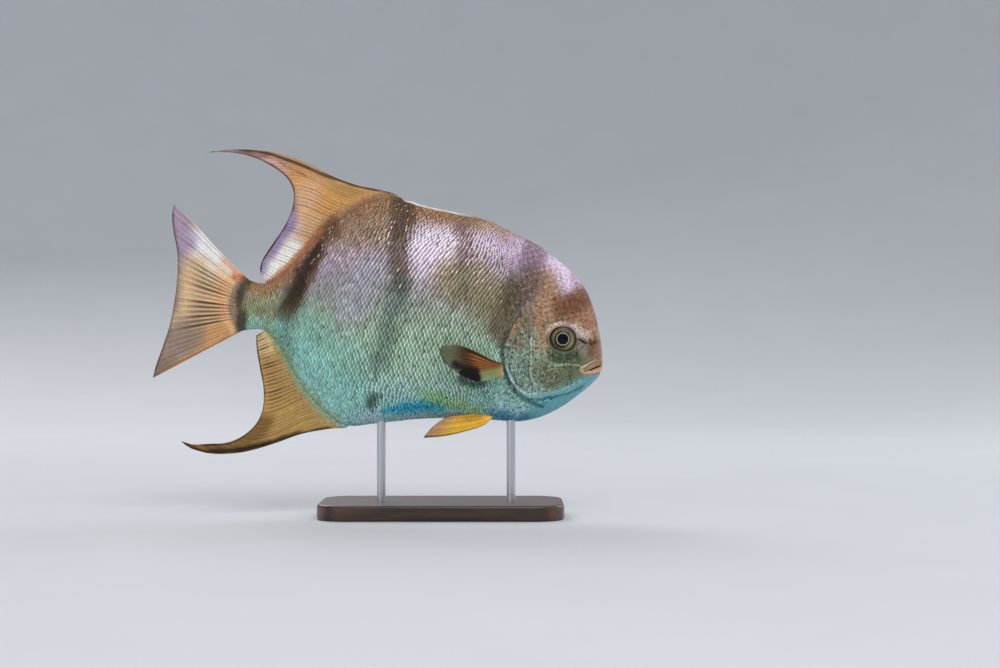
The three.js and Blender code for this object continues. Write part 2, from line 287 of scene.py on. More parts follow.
def newGroup(name, inputs, outputs):
    tree = bpy.data.node_groups.new(name, "ShaderNodeTree")
    for label, kind, value in inputs:
        socket = tree.interface.new_socket(label, in_out="INPUT", socket_type=kind)
        socket.default_value = value
    for label, kind in outputs:
        tree.interface.new_socket(label, in_out="OUTPUT", socket_type=kind)
    return tree, tree.nodes.new("NodeGroupInput").outputs, tree.nodes.new("NodeGroupOutput").inputs


def useGroup(tree, group, inputs):
    made = tree.nodes.new("ShaderNodeGroup")
    made.node_tree = group
    fillInputs(tree, made, inputs)
    return made.outputs


def newMaterial(name, **settings):
    material = bpy.data.materials.new(name)
    material.use_nodes = True
    shader = material.node_tree.nodes["Principled BSDF"]
    for key, value in settings.items():
        shader.inputs[key].default_value = value
    return material, material.node_tree, shader


def connect(tree, output, shader, socket):
    tree.links.new(output, shader.inputs[socket])


def addRoughness(tree, shader, value, low, high):
    spread = addNode(tree, "ShaderNodeMapRange", {"Value": value, "To Min": low, "To Max": high})
    connect(tree, spread.outputs[0], shader, "Roughness")


def addRelief(tree, shader, height, distance, strength):
    relief = addNode(tree, "ShaderNodeBump", {"Height": height, "Distance": distance, "Strength": strength})
    connect(tree, relief.outputs[0], shader, "Normal")


# Small freckles of darker and lighter pigment over a colour.
def makePigmentGroup():
    tree, given, result = newGroup(
        "pigmentFreckles",
        [("Colour", "NodeSocketColor", (0.5, 0.5, 0.5, 1)), ("Freckle Size", "NodeSocketFloat", 900.0),
         ("Amount", "NodeSocketFloat", 0.3)],
        [("Colour", "NodeSocketColor"), ("Freckle", "NodeSocketFloat")])
    noise = addNode(tree, "ShaderNodeTexNoise", {"Vector": objectPlace(tree), "Scale": given["Freckle Size"],
                                                 "Detail": 3.0, "Roughness": 0.6})
    spread = addNode(tree, "ShaderNodeMapRange", {
        "Value": noise.outputs["Fac"], "From Min": 0.3, "From Max": 0.7, "To Min": -1.0, "To Max": 1.0})
    gain = calculate(tree, "ADD", calculate(tree, "MULTIPLY", spread.outputs[0], given["Amount"]), 1.0)
    shade = addNode(tree, "ShaderNodeVectorMath", {0: given["Colour"], "Scale": gain}, operation="SCALE")
    tree.links.new(shade.outputs[0], result["Colour"])
    tree.links.new(noise.outputs["Fac"], result["Freckle"])
    return tree


# Fine relief such as skin pores, scale ridges or brushed metal.
def makeGrainGroup():
    tree, given, result = newGroup(
        "fineGrain",
        [("Grain Size", "NodeSocketFloat", 2500.0), ("Stretch", "NodeSocketVector", (1, 1, 1)),
         ("Coarse Share", "NodeSocketFloat", 0.3)],
        [("Height", "NodeSocketFloat")])
    place = stretched(tree, objectPlace(tree), given["Stretch"])
    fine = addNode(tree, "ShaderNodeTexNoise", {"Vector": place, "Scale": given["Grain Size"], "Detail": 2.0})
    wide = calculate(tree, "MULTIPLY", given["Grain Size"], 0.2)
    coarse = addNode(tree, "ShaderNodeTexNoise", {"Vector": place, "Scale": wide, "Detail": 2.0})
    height = mixValues(tree, given["Coarse Share"], fine.outputs["Fac"], coarse.outputs["Fac"])
    tree.links.new(height, result["Height"])
    return tree


# Stripes that follow the rays of a fin: bright over each ray, darker in the web between them.
def makeRayGroup():
    tree, given, result = newGroup(
        "rayStreaks",
        [("Ray", "NodeSocketFloat", 0.0), ("Along", "NodeSocketFloat", 0.0),
         ("Branches", "NodeSocketFloat", 3.0)],
        [("Ray Mask", "NodeSocketFloat"), ("Height", "NodeSocketFloat")])
    jitter = addNode(tree, "ShaderNodeTexNoise", {"Vector": objectPlace(tree), "Scale": 160.0, "Detail": 2.0})
    shift = calculate(tree, "MULTIPLY", calculate(tree, "SUBTRACT", jitter.outputs["Fac"], 0.5), 0.35)
    turn = calculate(tree, "MULTIPLY", calculate(tree, "ADD", given["Ray"], shift), 2 * math.pi)
    fine = cosineWave(tree, calculate(tree, "MULTIPLY", turn, given["Branches"]))
    fineShare = calculate(tree, "ADD", calculate(tree, "MULTIPLY", given["Along"], 0.4), 0.3)
    mask = mixValues(tree, fineShare, cosineWave(tree, turn), fine)
    tree.links.new(mask, result["Ray Mask"])
    joints = calculate(tree, "SINE", calculate(tree, "MULTIPLY", given["Along"], 260.0))
    tree.links.new(calculate(tree, "ADD", mask, calculate(tree, "MULTIPLY", joints, 0.06)), result["Height"])
    return tree


pigmentFreckles = makePigmentGroup()
fineGrain = makeGrainGroup()
rayStreaks = makeRayGroup()


# The colours painted on the mesh, under freckles.
def freckledPaint(tree, size, amount):
    paint = readAttribute(tree, "pattern", "Color")
    return useGroup(tree, pigmentFreckles, {"Colour": paint, "Freckle Size": size, "Amount": amount})


def skinMaterial():
    material, tree, shader = newMaterial("spadefish_skin", **{
        "Roughness": 0.42, "Specular IOR Level": 0.4, "Coat Weight": 0.2, "Coat Roughness": 0.2,
        "Subsurface Weight": 0.06, "Subsurface Scale": 0.004})
    freckled = freckledPaint(tree, 1100.0, 0.22)
    connect(tree, freckled["Colour"], shader, "Base Color")
    addRoughness(tree, shader, freckled["Freckle"], 0.3, 0.55)
    addRelief(tree, shader, useGroup(tree, fineGrain, {"Grain Size": 2600.0})["Height"], 0.00018, 0.5)
    return material


def finMaterial():
    material, tree, shader = newMaterial("fin_membrane", **{
        "Roughness": 0.5, "Specular IOR Level": 0.18,
        "Subsurface Weight": 0.12, "Subsurface Scale": 0.003})
    ray, along, clear = splitAttribute(tree, "rayPlace")      # clear is 0 at the root, where no ray shows
    rays = useGroup(tree, rayStreaks, {"Ray": ray, "Along": along, "Branches": 2.0})
    freckled = freckledPaint(tree, 500.0, 0.14)
    web = mixColours(tree, 1.0, freckled["Colour"], (0.84, 0.78, 0.76, 1), "MULTIPLY")
    lit = mixColours(tree, rays["Ray Mask"], web, freckled["Colour"])
    share = calculate(tree, "MULTIPLY", clear, 0.7)
    connect(tree, mixColours(tree, share, freckled["Colour"], lit), shader, "Base Color")
    addRelief(tree, shader, calculate(tree, "MULTIPLY", rays["Height"], clear), 0.0004, 0.7)
    return material


def scaleMaterial():
    material, tree, shader = newMaterial("pearly_scales", **{
        "Metallic": 0.3, "Roughness": 0.4, "Specular IOR Level": 0.3,
        "Coat Weight": 0.06, "Coat Roughness": 0.15})
    connect(tree, freckledPaint(tree, 1500.0, 0.12)["Colour"], shader, "Base Color")
    along, across, dull = splitAttribute(tree, "scalePlace")
    ridges = calculate(tree, "SINE", calculate(tree, "MULTIPLY", across, 22.0))
    rings = calculate(tree, "SINE", calculate(tree, "MULTIPLY", along, 30.0))
    height = calculate(tree, "ADD", ridges, calculate(tree, "MULTIPLY", rings, 0.5))
    addRelief(tree, shader, height, 0.00006, 0.5)
    addRoughness(tree, shader, dull, 0.3, 0.5)
    return material


def eyeMaterial():
    material, tree, shader = newMaterial("eye", **{
        "Roughness": 0.3, "Specular IOR Level": 0.1, "Coat Weight": 0.3, "Coat Roughness": 0.02,
        "Coat IOR": 1.4})
    connect(tree, freckledPaint(tree, 1400.0, 0.3)["Colour"], shader, "Base Color")
    return material


wood = {"dark": "#24150e", "light": "#5d3d28", "darkUpTo": 0.28, "lightFrom": 0.75, "ringShare": 0.34,
        "grain": (6.0, 60.0, 60.0), "pores": (0.25, 5.0, 5.0)}      # both finer across the base than along it


def woodMaterial():
    material, tree, shader = newMaterial("dark_walnut", **{
        "Roughness": 0.38, "Coat Weight": 0.25, "Coat Roughness": 0.2})
    place = stretched(tree, objectPlace(tree), wood["grain"])
    sway = addNode(tree, "ShaderNodeTexNoise", {
        "Vector": place, "Scale": 3.0, "Detail": 5.0, "Distortion": 0.6})
    rings = addNode(tree, "ShaderNodeTexWave", {
        "Vector": place, "Scale": 0.3, "Distortion": 9.0, "Detail": 3.0, "Detail Scale": 0.8},
        bands_direction="Y")
    figure = mixValues(tree, wood["ringShare"], sway.outputs["Fac"], rings.outputs["Fac"])
    ramp = addNode(tree, "ShaderNodeValToRGB", {"Fac": figure})
    ramp.color_ramp.elements[0].position = wood["darkUpTo"]
    ramp.color_ramp.elements[0].color = rgba(wood["dark"])
    ramp.color_ramp.elements[1].position = wood["lightFrom"]
    ramp.color_ramp.elements[1].color = rgba(wood["light"])
    connect(tree, ramp.outputs[0], shader, "Base Color")
    pores = useGroup(tree, fineGrain, {"Grain Size": 260.0, "Stretch": wood["pores"], "Coarse Share": 0.2})
    addRelief(tree, shader, pores["Height"], 0.0002, 0.35)
    return material


def steelMaterial():
    material, tree, shader = newMaterial("brushed_steel", **{
        "Base Color": rgba("#c9cbce"), "Metallic": 1.0, "Roughness": 0.28})
    brushing = useGroup(tree, fineGrain, {
        "Grain Size": 900.0, "Stretch": (1.0, 1.0, 0.06), "Coarse Share": 0.3})
    addRelief(tree, shader, brushing["Height"], 0.00012, 0.4)
    addRoughness(tree, shader, brushing["Height"], 0.2, 0.4)
    return material


def backdropMaterial():
    material, tree, shader = newMaterial("backdrop_paper", **{"Roughness": 0.9})
    tint = useGroup(tree, pigmentFreckles, {
        "Colour": rgba(backdrop["colour"]), "Freckle Size": 6.0, "Amount": 0.015})
    connect(tree, tint["Colour"], shader, "Base Color")
    return material


# One mesh object. groups holds arrays of faces, each with its own number of corners; attributes and uv hold a
# row for each vertex, and materialIndex a number for each face.
def meshFrom(name, places, groups, attributes=None, uv=None, material=(), materialIndex=None):
    mesh = bpy.data.meshes.new(name)
    corners = np.concatenate([np.asarray(faces).ravel() for faces in groups]).astype(np.int32)
    sizes = np.concatenate([np.full(len(faces), np.shape(faces)[1]) for faces in groups])
    starts = np.concatenate([[0], np.cumsum(sizes)[:-1]]).astype(np.int32)
    mesh.vertices.add(len(places))
    mesh.loops.add(len(corners))
    mesh.polygons.add(len(sizes))
    mesh.vertices.foreach_set("co", np.asarray(places, np.float32).ravel())
    mesh.loops.foreach_set("vertex_index", corners)
    mesh.polygons.foreach_set("loop_start", starts)
    mesh.update(calc_edges=True)
    for label, values in (attributes or {}).items():
        values = np.asarray(values, np.float32)
        if label == "pattern":
            values = np.concatenate([values, np.ones((len(values), 1), np.float32)], 1)
            mesh.attributes.new(label, "FLOAT_COLOR", "POINT").data.foreach_set("color", values.ravel())
        else:
            mesh.attributes.new(label, "FLOAT_VECTOR", "POINT").data.foreach_set("vector", values.ravel())
    if uv is not None:
        mesh.uv_layers.new(name="OFBake").data.foreach_set("uv", np.asarray(uv, np.float32)[corners].ravel())
    for finish in material:
        mesh.materials.append(finish)
    if materialIndex is not None:
        mesh.polygons.foreach_set("material_index", np.asarray(materialIndex, np.int32))
    mesh.shade_smooth()
    return addObject(name, mesh)


# The numbers of a grid's vertices, in the grid's own rows and columns.
def numbered(grid):
    return np.arange(grid[..., 0].size).reshape(grid.shape[:-1])


def gridFaces(ids, flip=False):
    quads = np.stack([ids[:-1, :-1], ids[1:, :-1], ids[1:, 1:], ids[:-1, 1:]], -1).reshape(-1, 4)
    return quads[:, ::-1] if flip else quads


# A surface turned round an upright axis, from a column of radii and heights.
def turned(radius, height, angle):
    radius, height = np.array(radius)[:, None], np.array(height)[:, None]
    return np.stack([radius * np.cos(angle), radius * np.sin(angle), height + 0 * angle], -1)


# The wall of an upright solid with a flat face at its foot and its top. The last column repeats the first.
def wallAndEnds(ids):
    return [gridFaces(ids, True), ids[None, 0, -2::-1], ids[None, -1, :-1]]


# Joins a row of vertices to a row with twice as many steps.
def seamFaces(coarse, fine, flip=False):
    rows = np.stack([coarse[:-1], fine[:-1:2], fine[1::2], fine[2::2], coarse[1:]], -1)
    return rows[:, ::-1] if flip else rows


def weld(made, distance=2e-6):
    mesh = made.data
    work = bmesh.new()
    work.from_mesh(mesh)
    bmesh.ops.remove_doubles(work, verts=work.verts, dist=distance)
    bmesh.ops.dissolve_degenerate(work, edges=work.edges, dist=1e-7)
    work.to_mesh(mesh)
    work.free()
    mesh.update()


def stage():
    angle = np.linspace(0, 2 * math.pi, 97)
    curve = np.linspace(0, math.pi / 2, 24)
    radius = [0.0, 0.6, 1.2] + list(backdrop["floorRadius"] + backdrop["sweep"] * np.sin(curve))
    height = [0.0, 0.0, 0.0] + list(backdrop["sweep"] * (1 - np.cos(curve)))
    places = turned(radius + radius[-1:], height + [backdrop["wallTop"]], angle)
    floor = meshFrom("floor", places.reshape(-1, 3), [gridFaces(numbered(places), True)],
                     material=[backdropMaterial()])
    weld(floor)


# The body's form, as the solids have it: heights and half widths in mm by the distance behind the snout.
backLine = curveThrough([
    [-1.4, -9], [0.4, 0], [3, 10], [6, 20], [10.5, 32], [17, 46], [25, 58.5], [34, 67.5],
    [50, 78.5], [70, 89.5], [98, 99.5], [120, 105], [150, 107.8], [180, 110], [198, 113.5], [212, 114],
    [228, 108], [246, 95], [264, 77], [281, 53], [296, 34], [306, 25], [316, 21.5], [327, 23]])
bellyLine = curveThrough([
    [-1.4, -14.5], [1, -20.5], [8, -30], [16, -38.5], [26, -48.5], [38, -58], [52, -66],
    [68, -71], [88, -72.6], [120, -75], [156, -81], [200, -92], [218, -96], [233, -91.5],
    [250, -80], [268, -63], [285, -41], [298, -26], [309, -20.8], [327, -24.5]])
halfWidthLine = curveThrough([
    [-1.4, 4], [1, 7.5], [4, 10.2], [10, 13], [22, 17], [40, 21.6], [62, 25.6], [90, 28.4],
    [120, 29.2], [155, 28], [195, 24], [230, 18.6], [262, 13], [290, 8.8], [310, 6.6], [327, 5.2]])
widestLine = curveThrough([[-1.4, -12], [10, -10], [40, -4], [90, 4], [200, 6], [327, 0]])

body = {
    "ridgeSharpness": 1.22,     # above 1 the section narrows towards the back and the keel
    "coatDepth": 0.6,           # mm that the skin lies inside the solids
    "noseTip": -1.3, "noseRound": 1.7,
    "rootBlend": 5.0,           # mm over which the flank swells out to a fin's root
    "headEnd": 95.0, "finStart": 197.5, "finEnd": 311.5, "rear": 326.0,
    "headColumns": 130,         # on each side, keel to ridge; half as many behind the head
    # behind the head the skin shows only in the gaps between the scales, and its darker tone there is painted
    # shade
    "headTone": 0.9, "headMottle": 0.05, "rearGapShade": 0.82,      # the skin is a little darker than the scales
    "chart": (-2, 327),         # the stretch of back that fills the unwrap
}
finRoots = {                    # where the unpaired fins stand on the ridge and the keel
    "dorsal": {"from": 197.5, "to": 310.5, "half": 2.3},
    "anal": {"from": 218.5, "to": 306.5, "half": 2.3},
}


def rootHalf(name, back):
    root = finRoots[name]
    share = np.clip((back - root["from"]) / (root["to"] - root["from"]), 0, 1)
    return root["half"] * np.sqrt(np.clip(12 * share * (1 - share), 0, 1))


# A place on the left flank, before the head's relief. The angle runs from the keel to the ridge.
def bodyPlace(back, angle):
    back, angle = np.broadcast_arrays(np.asarray(back, float), np.asarray(angle, float))
    inset = body["coatDepth"]
    widest = widestLine(back)
    rise = backLine(back) - inset - widest
    drop = widest - bellyLine(back) - inset
    half = halfWidthLine(back) - inset
    blunt = np.sqrt(np.clip((back - body["noseTip"]) / body["noseRound"], 0, 1))
    sine = np.sin(angle)
    upper = angle > 0
    up = widest + blunt * sine * np.where(upper, rise, drop)
    out = blunt * half * np.abs(np.cos(angle)) ** body["ridgeSharpness"]
    root = np.where(upper, rootHalf("dorsal", back), rootHalf("anal", back))
    near = np.exp(-(1 - np.abs(sine)) * np.where(upper, rise, drop) / body["rootBlend"])
    out = (out**1.5 + (root * near) ** 1.5) ** (1 / 1.5)
    return np.stack([back, up, out], -1)


# Points out of the left flank, and ahead at the tip of the snout.
def bodyNormal(back, angle):
    along = bodyPlace(back + 0.05, angle) - bodyPlace(back - 0.05, angle)
    across = bodyPlace(back, angle + 2e-3) - bodyPlace(back, angle - 2e-3)
    normal = np.cross(along, across)
    length = np.linalg.norm(normal, axis=-1, keepdims=True)
    return np.where(length > 1e-9, normal / np.maximum(length, 1e-9), [-1.0, 0, 0])


# The head's relief follows the eye and lines drawn on its side.
eye = {"back": 38.7, "up": 9.0, "radius": 12.5, "depth": 6.4,
       "sink": 3.4,                       # mm that the ball's middle lies inside the flank
       "opening": 10.1, "wide": 1.1,      # the socket's radius, and how much longer than high it is
       "unwrap": (55, 27)}                # mm that the ball's unwrap spans
headLines = {
    "mouth": [(-3, -8.0), (-0.6, -9.1), (4.9, -12.4), (9.7, -15.2), (14.2, -17.8)],
    "upperLipTop": [(-3, 4.4), (1.7, 1.5), (3.2, -1.3), (8.4, -5.9), (14.4, -10), (19.2, -12.7),
                    (21.4, -15.8)],
    "lipCrease": [(1.9, -1.8), (7, -6.9), (12.2, -11.7), (15.6, -15)],
    "lipEnd": [(21.4, -15.8), (18.6, -19.2), (14.2, -18.4)],
    "lowerLipFoot": [(-3, -15.2), (-1.5, -16), (5.4, -18.6), (13, -20.2), (17.5, -20.8)],
    "nostril": [(24, 10.9), (21, 9.7), (17.6, 8.2)],
    "nostrilFold": [(17.6, 8.2), (13.4, 8.9), (9.8, 10.1)],
    "frontNostril": [(13.6, 11.4), (14.4, 11.8)],
    "browEdge": [(31, 21.6), (23.4, 16.4), (15.2, 13.6), (6.2, 14.8)],
    "eyeFold": [(53, -2), (47.5, -7), (38.5, -9.4), (30, -8), (24, -2.5)],
    "cheekCrease": [(46.7, -12.6), (42.4, -15.3), (32.2, -13.2), (20.6, -12.2)],
    "cheekPlate": [(68, 12), (67.5, 5.3), (66.2, -2.3), (65, -12.6), (63.9, -22.9), (60.8, -32.9),
                   (55.9, -39.6), (50.4, -41.6), (43, -39.8), (35, -36.4), (27, -31.6)],
    "gillCover": [(79.5, 27), (81.7, 23.4), (83.6, 18.6), (85, 12.8), (88, 2.5), (90.1, -5.7),
                  (88.4, -14.5), (85.1, -25.9), (79.4, -35.5), (72.5, -42.4), (66, -46.6), (58, -50.5),
                  (49, -53.6), (40, -54.4)],
    "jawEdge": [(71.5, -43.2), (67.6, -45.7), (63.2, -46.7), (53.9, -45), (38.8, -40.5), (24, -34.2),
                (17.1, -28), (11, -21.8)],
    "gillSlit": [(70, -45.8), (63.7, -49), (55.5, -51.9), (47.5, -54)],
}
headGrooves = {                 # width and depth in mm
    "lowerLipFoot": (0.9, 0.5), "lipEnd": (0.7, 0.6), "nostril": (0.75, 1.8), "nostrilFold": (0.9, 0.6),
    "frontNostril": (0.7, 1.3), "eyeFold": (0.9, 0.5), "cheekCrease": (0.8, 0.45), "jawEdge": (0.8, 0.55),
    "gillSlit": (1.0, 1.2),
}
headPlates = {                  # mm: height ahead of the edge, how far that fades, depth behind it, rim
    "cheekPlate": {"rise": 0.6, "fade": 7, "dip": 0.45, "rim": 0.1},
    "gillCover": {"rise": 1.15, "fade": 11, "dip": 1.25, "rim": 0.12},
}
lips = {"upper": (0.5, 1.1), "lower": (0.6, 0.9)}     # mm at the snout's tip, and what is added behind it


# Distance from the eye's centre, measured so that its slightly long outline is a circle.
def eyeReach(back, up):
    return np.hypot((back - eye["back"]) / eye["wide"], up - eye["up"])


# A rolled band between two lines, from the distances to both.
def roll(first, second):
    share = first / (first + second + 1e-6)
    return np.sqrt(np.clip(4 * share * (1 - share), 0, 1))


# How far the head's skin stands out from the plain body, in mm.
def headRelief(back, up):
    lift = np.zeros(np.shape(back))
    away = {name: fromLine(path, back, up) for name, path in headLines.items()}
    for name, (width, depth) in headGrooves.items():
        lift += swell(away[name][0], 0, width, -depth)

    # two rolled lips with the mouth's slit between them
    mouth, above, along = away["mouth"]
    topEdge, overTop, _ = away["upperLipTop"]
    foot, overFoot, _ = away["lowerLipFoot"]
    front = between(back, -1.2, 4)
    inUpper = (above < 0) & (overTop > 0) & (back < 21.4) & (up > -19)
    inLower = (above > 0) & (overFoot < 0) & (back < 16.5)
    lift += np.where(inUpper, (lips["upper"][0] + lips["upper"][1] * front) * roll(mouth, topEdge), 0)
    lift += np.where(inLower, (lips["lower"][0] + lips["lower"][1] * front) * roll(mouth, foot), 0)
    lift += swell(mouth, 0, 0.6, -2.2) * (1 - 0.75 * between(along, 0.8, 1.0))
    lift += (swell(away["lipCrease"][0], 0, 0.55, -0.9) + swell(topEdge, 0, 0.7, -0.75)) * front

    # the eye's socket with a raised rim, proudest over the top
    reach = eyeReach(back, up)
    overEye = (up - eye["up"]) / np.maximum(reach, 1)
    lift += -4.5 * (1 - between(reach, eye["opening"] - 1.0, eye["opening"] + 0.4))
    lift += swell(reach, 12.0, 1.4, 0.75 + 0.5 * overEye)
    lift += swell(reach, 15.8, 1.6, -0.5) * (0.6 + 0.4 * overEye)

    # rims of the nostrils, and the brow over them
    lift += swell(away["nostril"][0], 1.8, 0.9, 0.5) + swell(away["frontNostril"][0], 1.5, 0.6, 0.35)
    brow, overBrow, _ = away["browEdge"]
    browSpan = between(back, 6, 16) * (1 - between(back, 30, 36))
    lift += 0.55 * np.exp(-brow / np.where(overBrow < 0, 6, 2.2)) * browSpan

    # the cheek plate and the gill cover stand out ahead of their edges
    for name, plate in headPlates.items():
        distance, side, along = away[name]
        ahead = side < 0
        ramp = np.where(ahead, plate["rise"] * np.exp(-distance / plate["fade"]),
                        -plate["dip"] * np.exp(-distance / 2.4))
        edge = between(np.where(ahead, distance, -distance), -0.6, 0.6)
        lift += (1 - between(along, 0.86, 1)) * ramp * np.where(ahead, edge, 1 - edge)
        lift += np.where(ahead, swell(distance, 1.1, 0.7, plate["rim"]), 0)
    return lift * (1 - between(back, body["headEnd"] - 3, body["headEnd"]))


def skinPlace(back, angle):
    place = bodyPlace(back, angle)
    head = place[..., 0] < body["headEnd"]
    lift = np.zeros(place.shape[:-1])
    lift[head] = headRelief(place[head][:, 0], place[head][:, 1])
    return place + bodyNormal(back, angle) * lift[..., None]


# Fins are fans of rays, again as the solids have them. lead is the front edge, leaves the share of it inside
# the body and edge the rim from its tip. flare and blend are how far, in mm, the root's thickness and the
# body's colour run out. wave bends the web sideways, and streaks counts the stripes of its finish.
dorsalTip = [381, 132]
analTip = [367, -130]
fins = {
    "dorsal": {
        "edge": [dorsalTip, [360, 134.8], [341, 133.7], [322, 128], [306, 119], [298.5, 108], [297.3, 92],
                 [302, 75], [312, 54], [317.5, 41], [318, 33], [316.5, 27]],
        "lead": [[193, 106], [196, 113.5], [203, 118], [220, 120], [239, 120.3], [267, 124.7], [296, 133],
                 [324, 138.6], [342, 139.2], [361, 137.4], dorsalTip],
        "leaves": 0.042, "spread": 0.62, "rays": 22, "streaks": 46, "steps": 28, "flare": 7, "plate": 0.5,
        "blend": [(0, 4), (0.1, 11), (0.45, 13), (0.7, 6), (1, 3)],
        "wave": lambda u, v: 5 * v * v * (1 - u)},
    "anal": {
        "edge": [analTip, [356, -131.6], [341, -129], [326, -126], [313, -118.5], [302, -105.5], [298, -92],
                 [299.5, -74], [306, -54], [311.5, -36], [313, -26]],
        "lead": [[217, -88], [219, -97.6], [235, -101.5], [262, -109.5], [288, -121.3], [313, -131.2],
                 [331, -135.5], [349, -136.9], [359, -135], analTip],
        "leaves": 0.052, "spread": 0.62, "rays": 18, "streaks": 38, "steps": 28, "flare": 7, "plate": 0.5,
        "blend": [(0, 4), (0.1, 9), (0.5, 8), (0.8, 5), (1, 3)],
        "wave": lambda u, v: -4 * v * v * (1 - u)},
    "tail": {
        "edge": [[403.4, 80.7], [404, 72], [401, 57], [395.5, 40], [392.6, 22], [391.7, 4], [391.8, -10],
                 [392.8, -28], [396, -48], [399.6, -67], [400.5, -77.6]],
        "lead": [[323, 22.5], [346, 38], [367, 54], [387.5, 70.5], [403.4, 80.7]],
        "leaves": 0.03, "spread": 1, "rays": 17, "streaks": 27, "steps": 30, "flare": 9, "plate": 0.5,
        "blend": [(0, 3), (1, 3)],
        "wave": lambda u, v: 5 * v * v * np.sin(math.pi * u)},
    "pectoral": {
        "base": [[84, -21, 22], [85, -26, 22], [86, -31, 22]],
        "edge": [[143, -11.5, 47], [144.5, -15, 47], [142, -23, 46], [132, -30.5, 43], [118, -37.5, 39],
                 [106, -38.5, 36], [97, -35.5, 33]],
        "lead": [[84, -21, 22], [98, -18.5, 31], [115, -12.5, 38], [130, -9.2, 43], [143, -11.5, 47]],
        "leaves": 0, "spread": 0.9, "rays": 15, "streaks": 22, "columns": 50, "steps": 24, "flare": 6,
        "plate": 0.45, "rootHalf": 1.9, "across": [-0.4, 0, 1], "wave": lambda u, v: -2 * v * v},
    "pelvic": {
        "base": [[90, -68, 5], [94, -67, 4.5], [99, -66, 4]],
        "edge": [[150, -96, 19], [146, -89.5, 18.5], [139, -81.5, 16], [130, -74.5, 12], [117, -71, 8],
                 [108, -69, 5]],
        "lead": [[90, -68, 5], [97, -77, 9], [114, -85.5, 13], [133, -92.3, 16.5], [150, -96, 19]],
        "leaves": 0, "spread": 0.8, "rays": 6, "streaks": 12, "columns": 36, "steps": 24, "flare": 7,
        "plate": 0.5, "rootHalf": 1.8, "across": [-0.3, 0.2, 1], "wave": lambda u, v: 2 * v * v * u},
}
for fin in fins.values():
    fin["edgeLine"] = lineThrough(fin["edge"])
    fin["leadLine"] = lineThrough(fin["lead"])
    fin["baseLine"] = lineThrough(fin["base"]) if "base" in fin else None
    across = np.array(fin.get("across", [0, 0, 1]), float)
    fin["through"] = across / np.linalg.norm(across)


# The middle of a fin's web where ray share u is at v of its length, from a given root.
def finMiddle(fin, u, v, root):
    leadStart = fin["leadLine"](np.array(fin["leaves"]))
    leadEnd = fin["leadLine"](np.array(1.0))
    lead = fin["leadLine"](fin["leaves"] + (1 - fin["leaves"]) * v)
    bow = lead - (leadStart + (leadEnd - leadStart) * v[..., None])
    edge = fin["edgeLine"](u ** fin["spread"])
    middle = root + (edge - root) * v[..., None] + bow * ((1 - u) ** 3.2)[..., None]
    return middle + fin["through"] * fin["wave"](u, v)[..., None]


# Where the rays leave the body; finStrip() stores the row when the body's mesh is made.
def finRootAt(name, u):
    fin = fins[name]
    return np.stack([np.interp(u, fin["rootShare"], fin["rootRow"][:, k]) for k in range(3)], -1)


def rayLength(fin, u, root):
    return np.linalg.norm(fin["edgeLine"](u ** fin["spread"]) - root, axis=-1)


# Rises from 0 to 1 along a quarter of a circle, over the given width.
def rounded(t, width):
    return np.sqrt(1 - (1 - np.clip(t / width, 0, 1)) ** 2)


# Half the web's thickness: thick at the root, thin at the rim, with a ridge over each ray.
def finHalf(fin, u, v, root, rootThick):
    fade = np.exp(-v * rayLength(fin, u, root) / fin["flare"])
    edges = rounded(u, 0.022) * rounded(1 - u, 0.03)
    rim = rounded(1 - v, 0.035)
    ridge = 0.16 * np.cos(2 * math.pi * fin["rays"] * u) * between(v, 0.03, 0.2) * (1 - 0.5 * v)
    plate = fin["plate"] * (1.25 - 0.5 * v) + ridge
    return rootThick * fade + plate * (1 - fade) * edges * rim


# A path round the eye, from one angle in degrees to another.
def roundEye(radius, start=0, end=360):
    turn = np.radians(np.linspace(start, end, 17))
    return list(zip(eye["back"] + eye["wide"] * radius * np.cos(turn), eye["up"] + radius * np.sin(turn)))
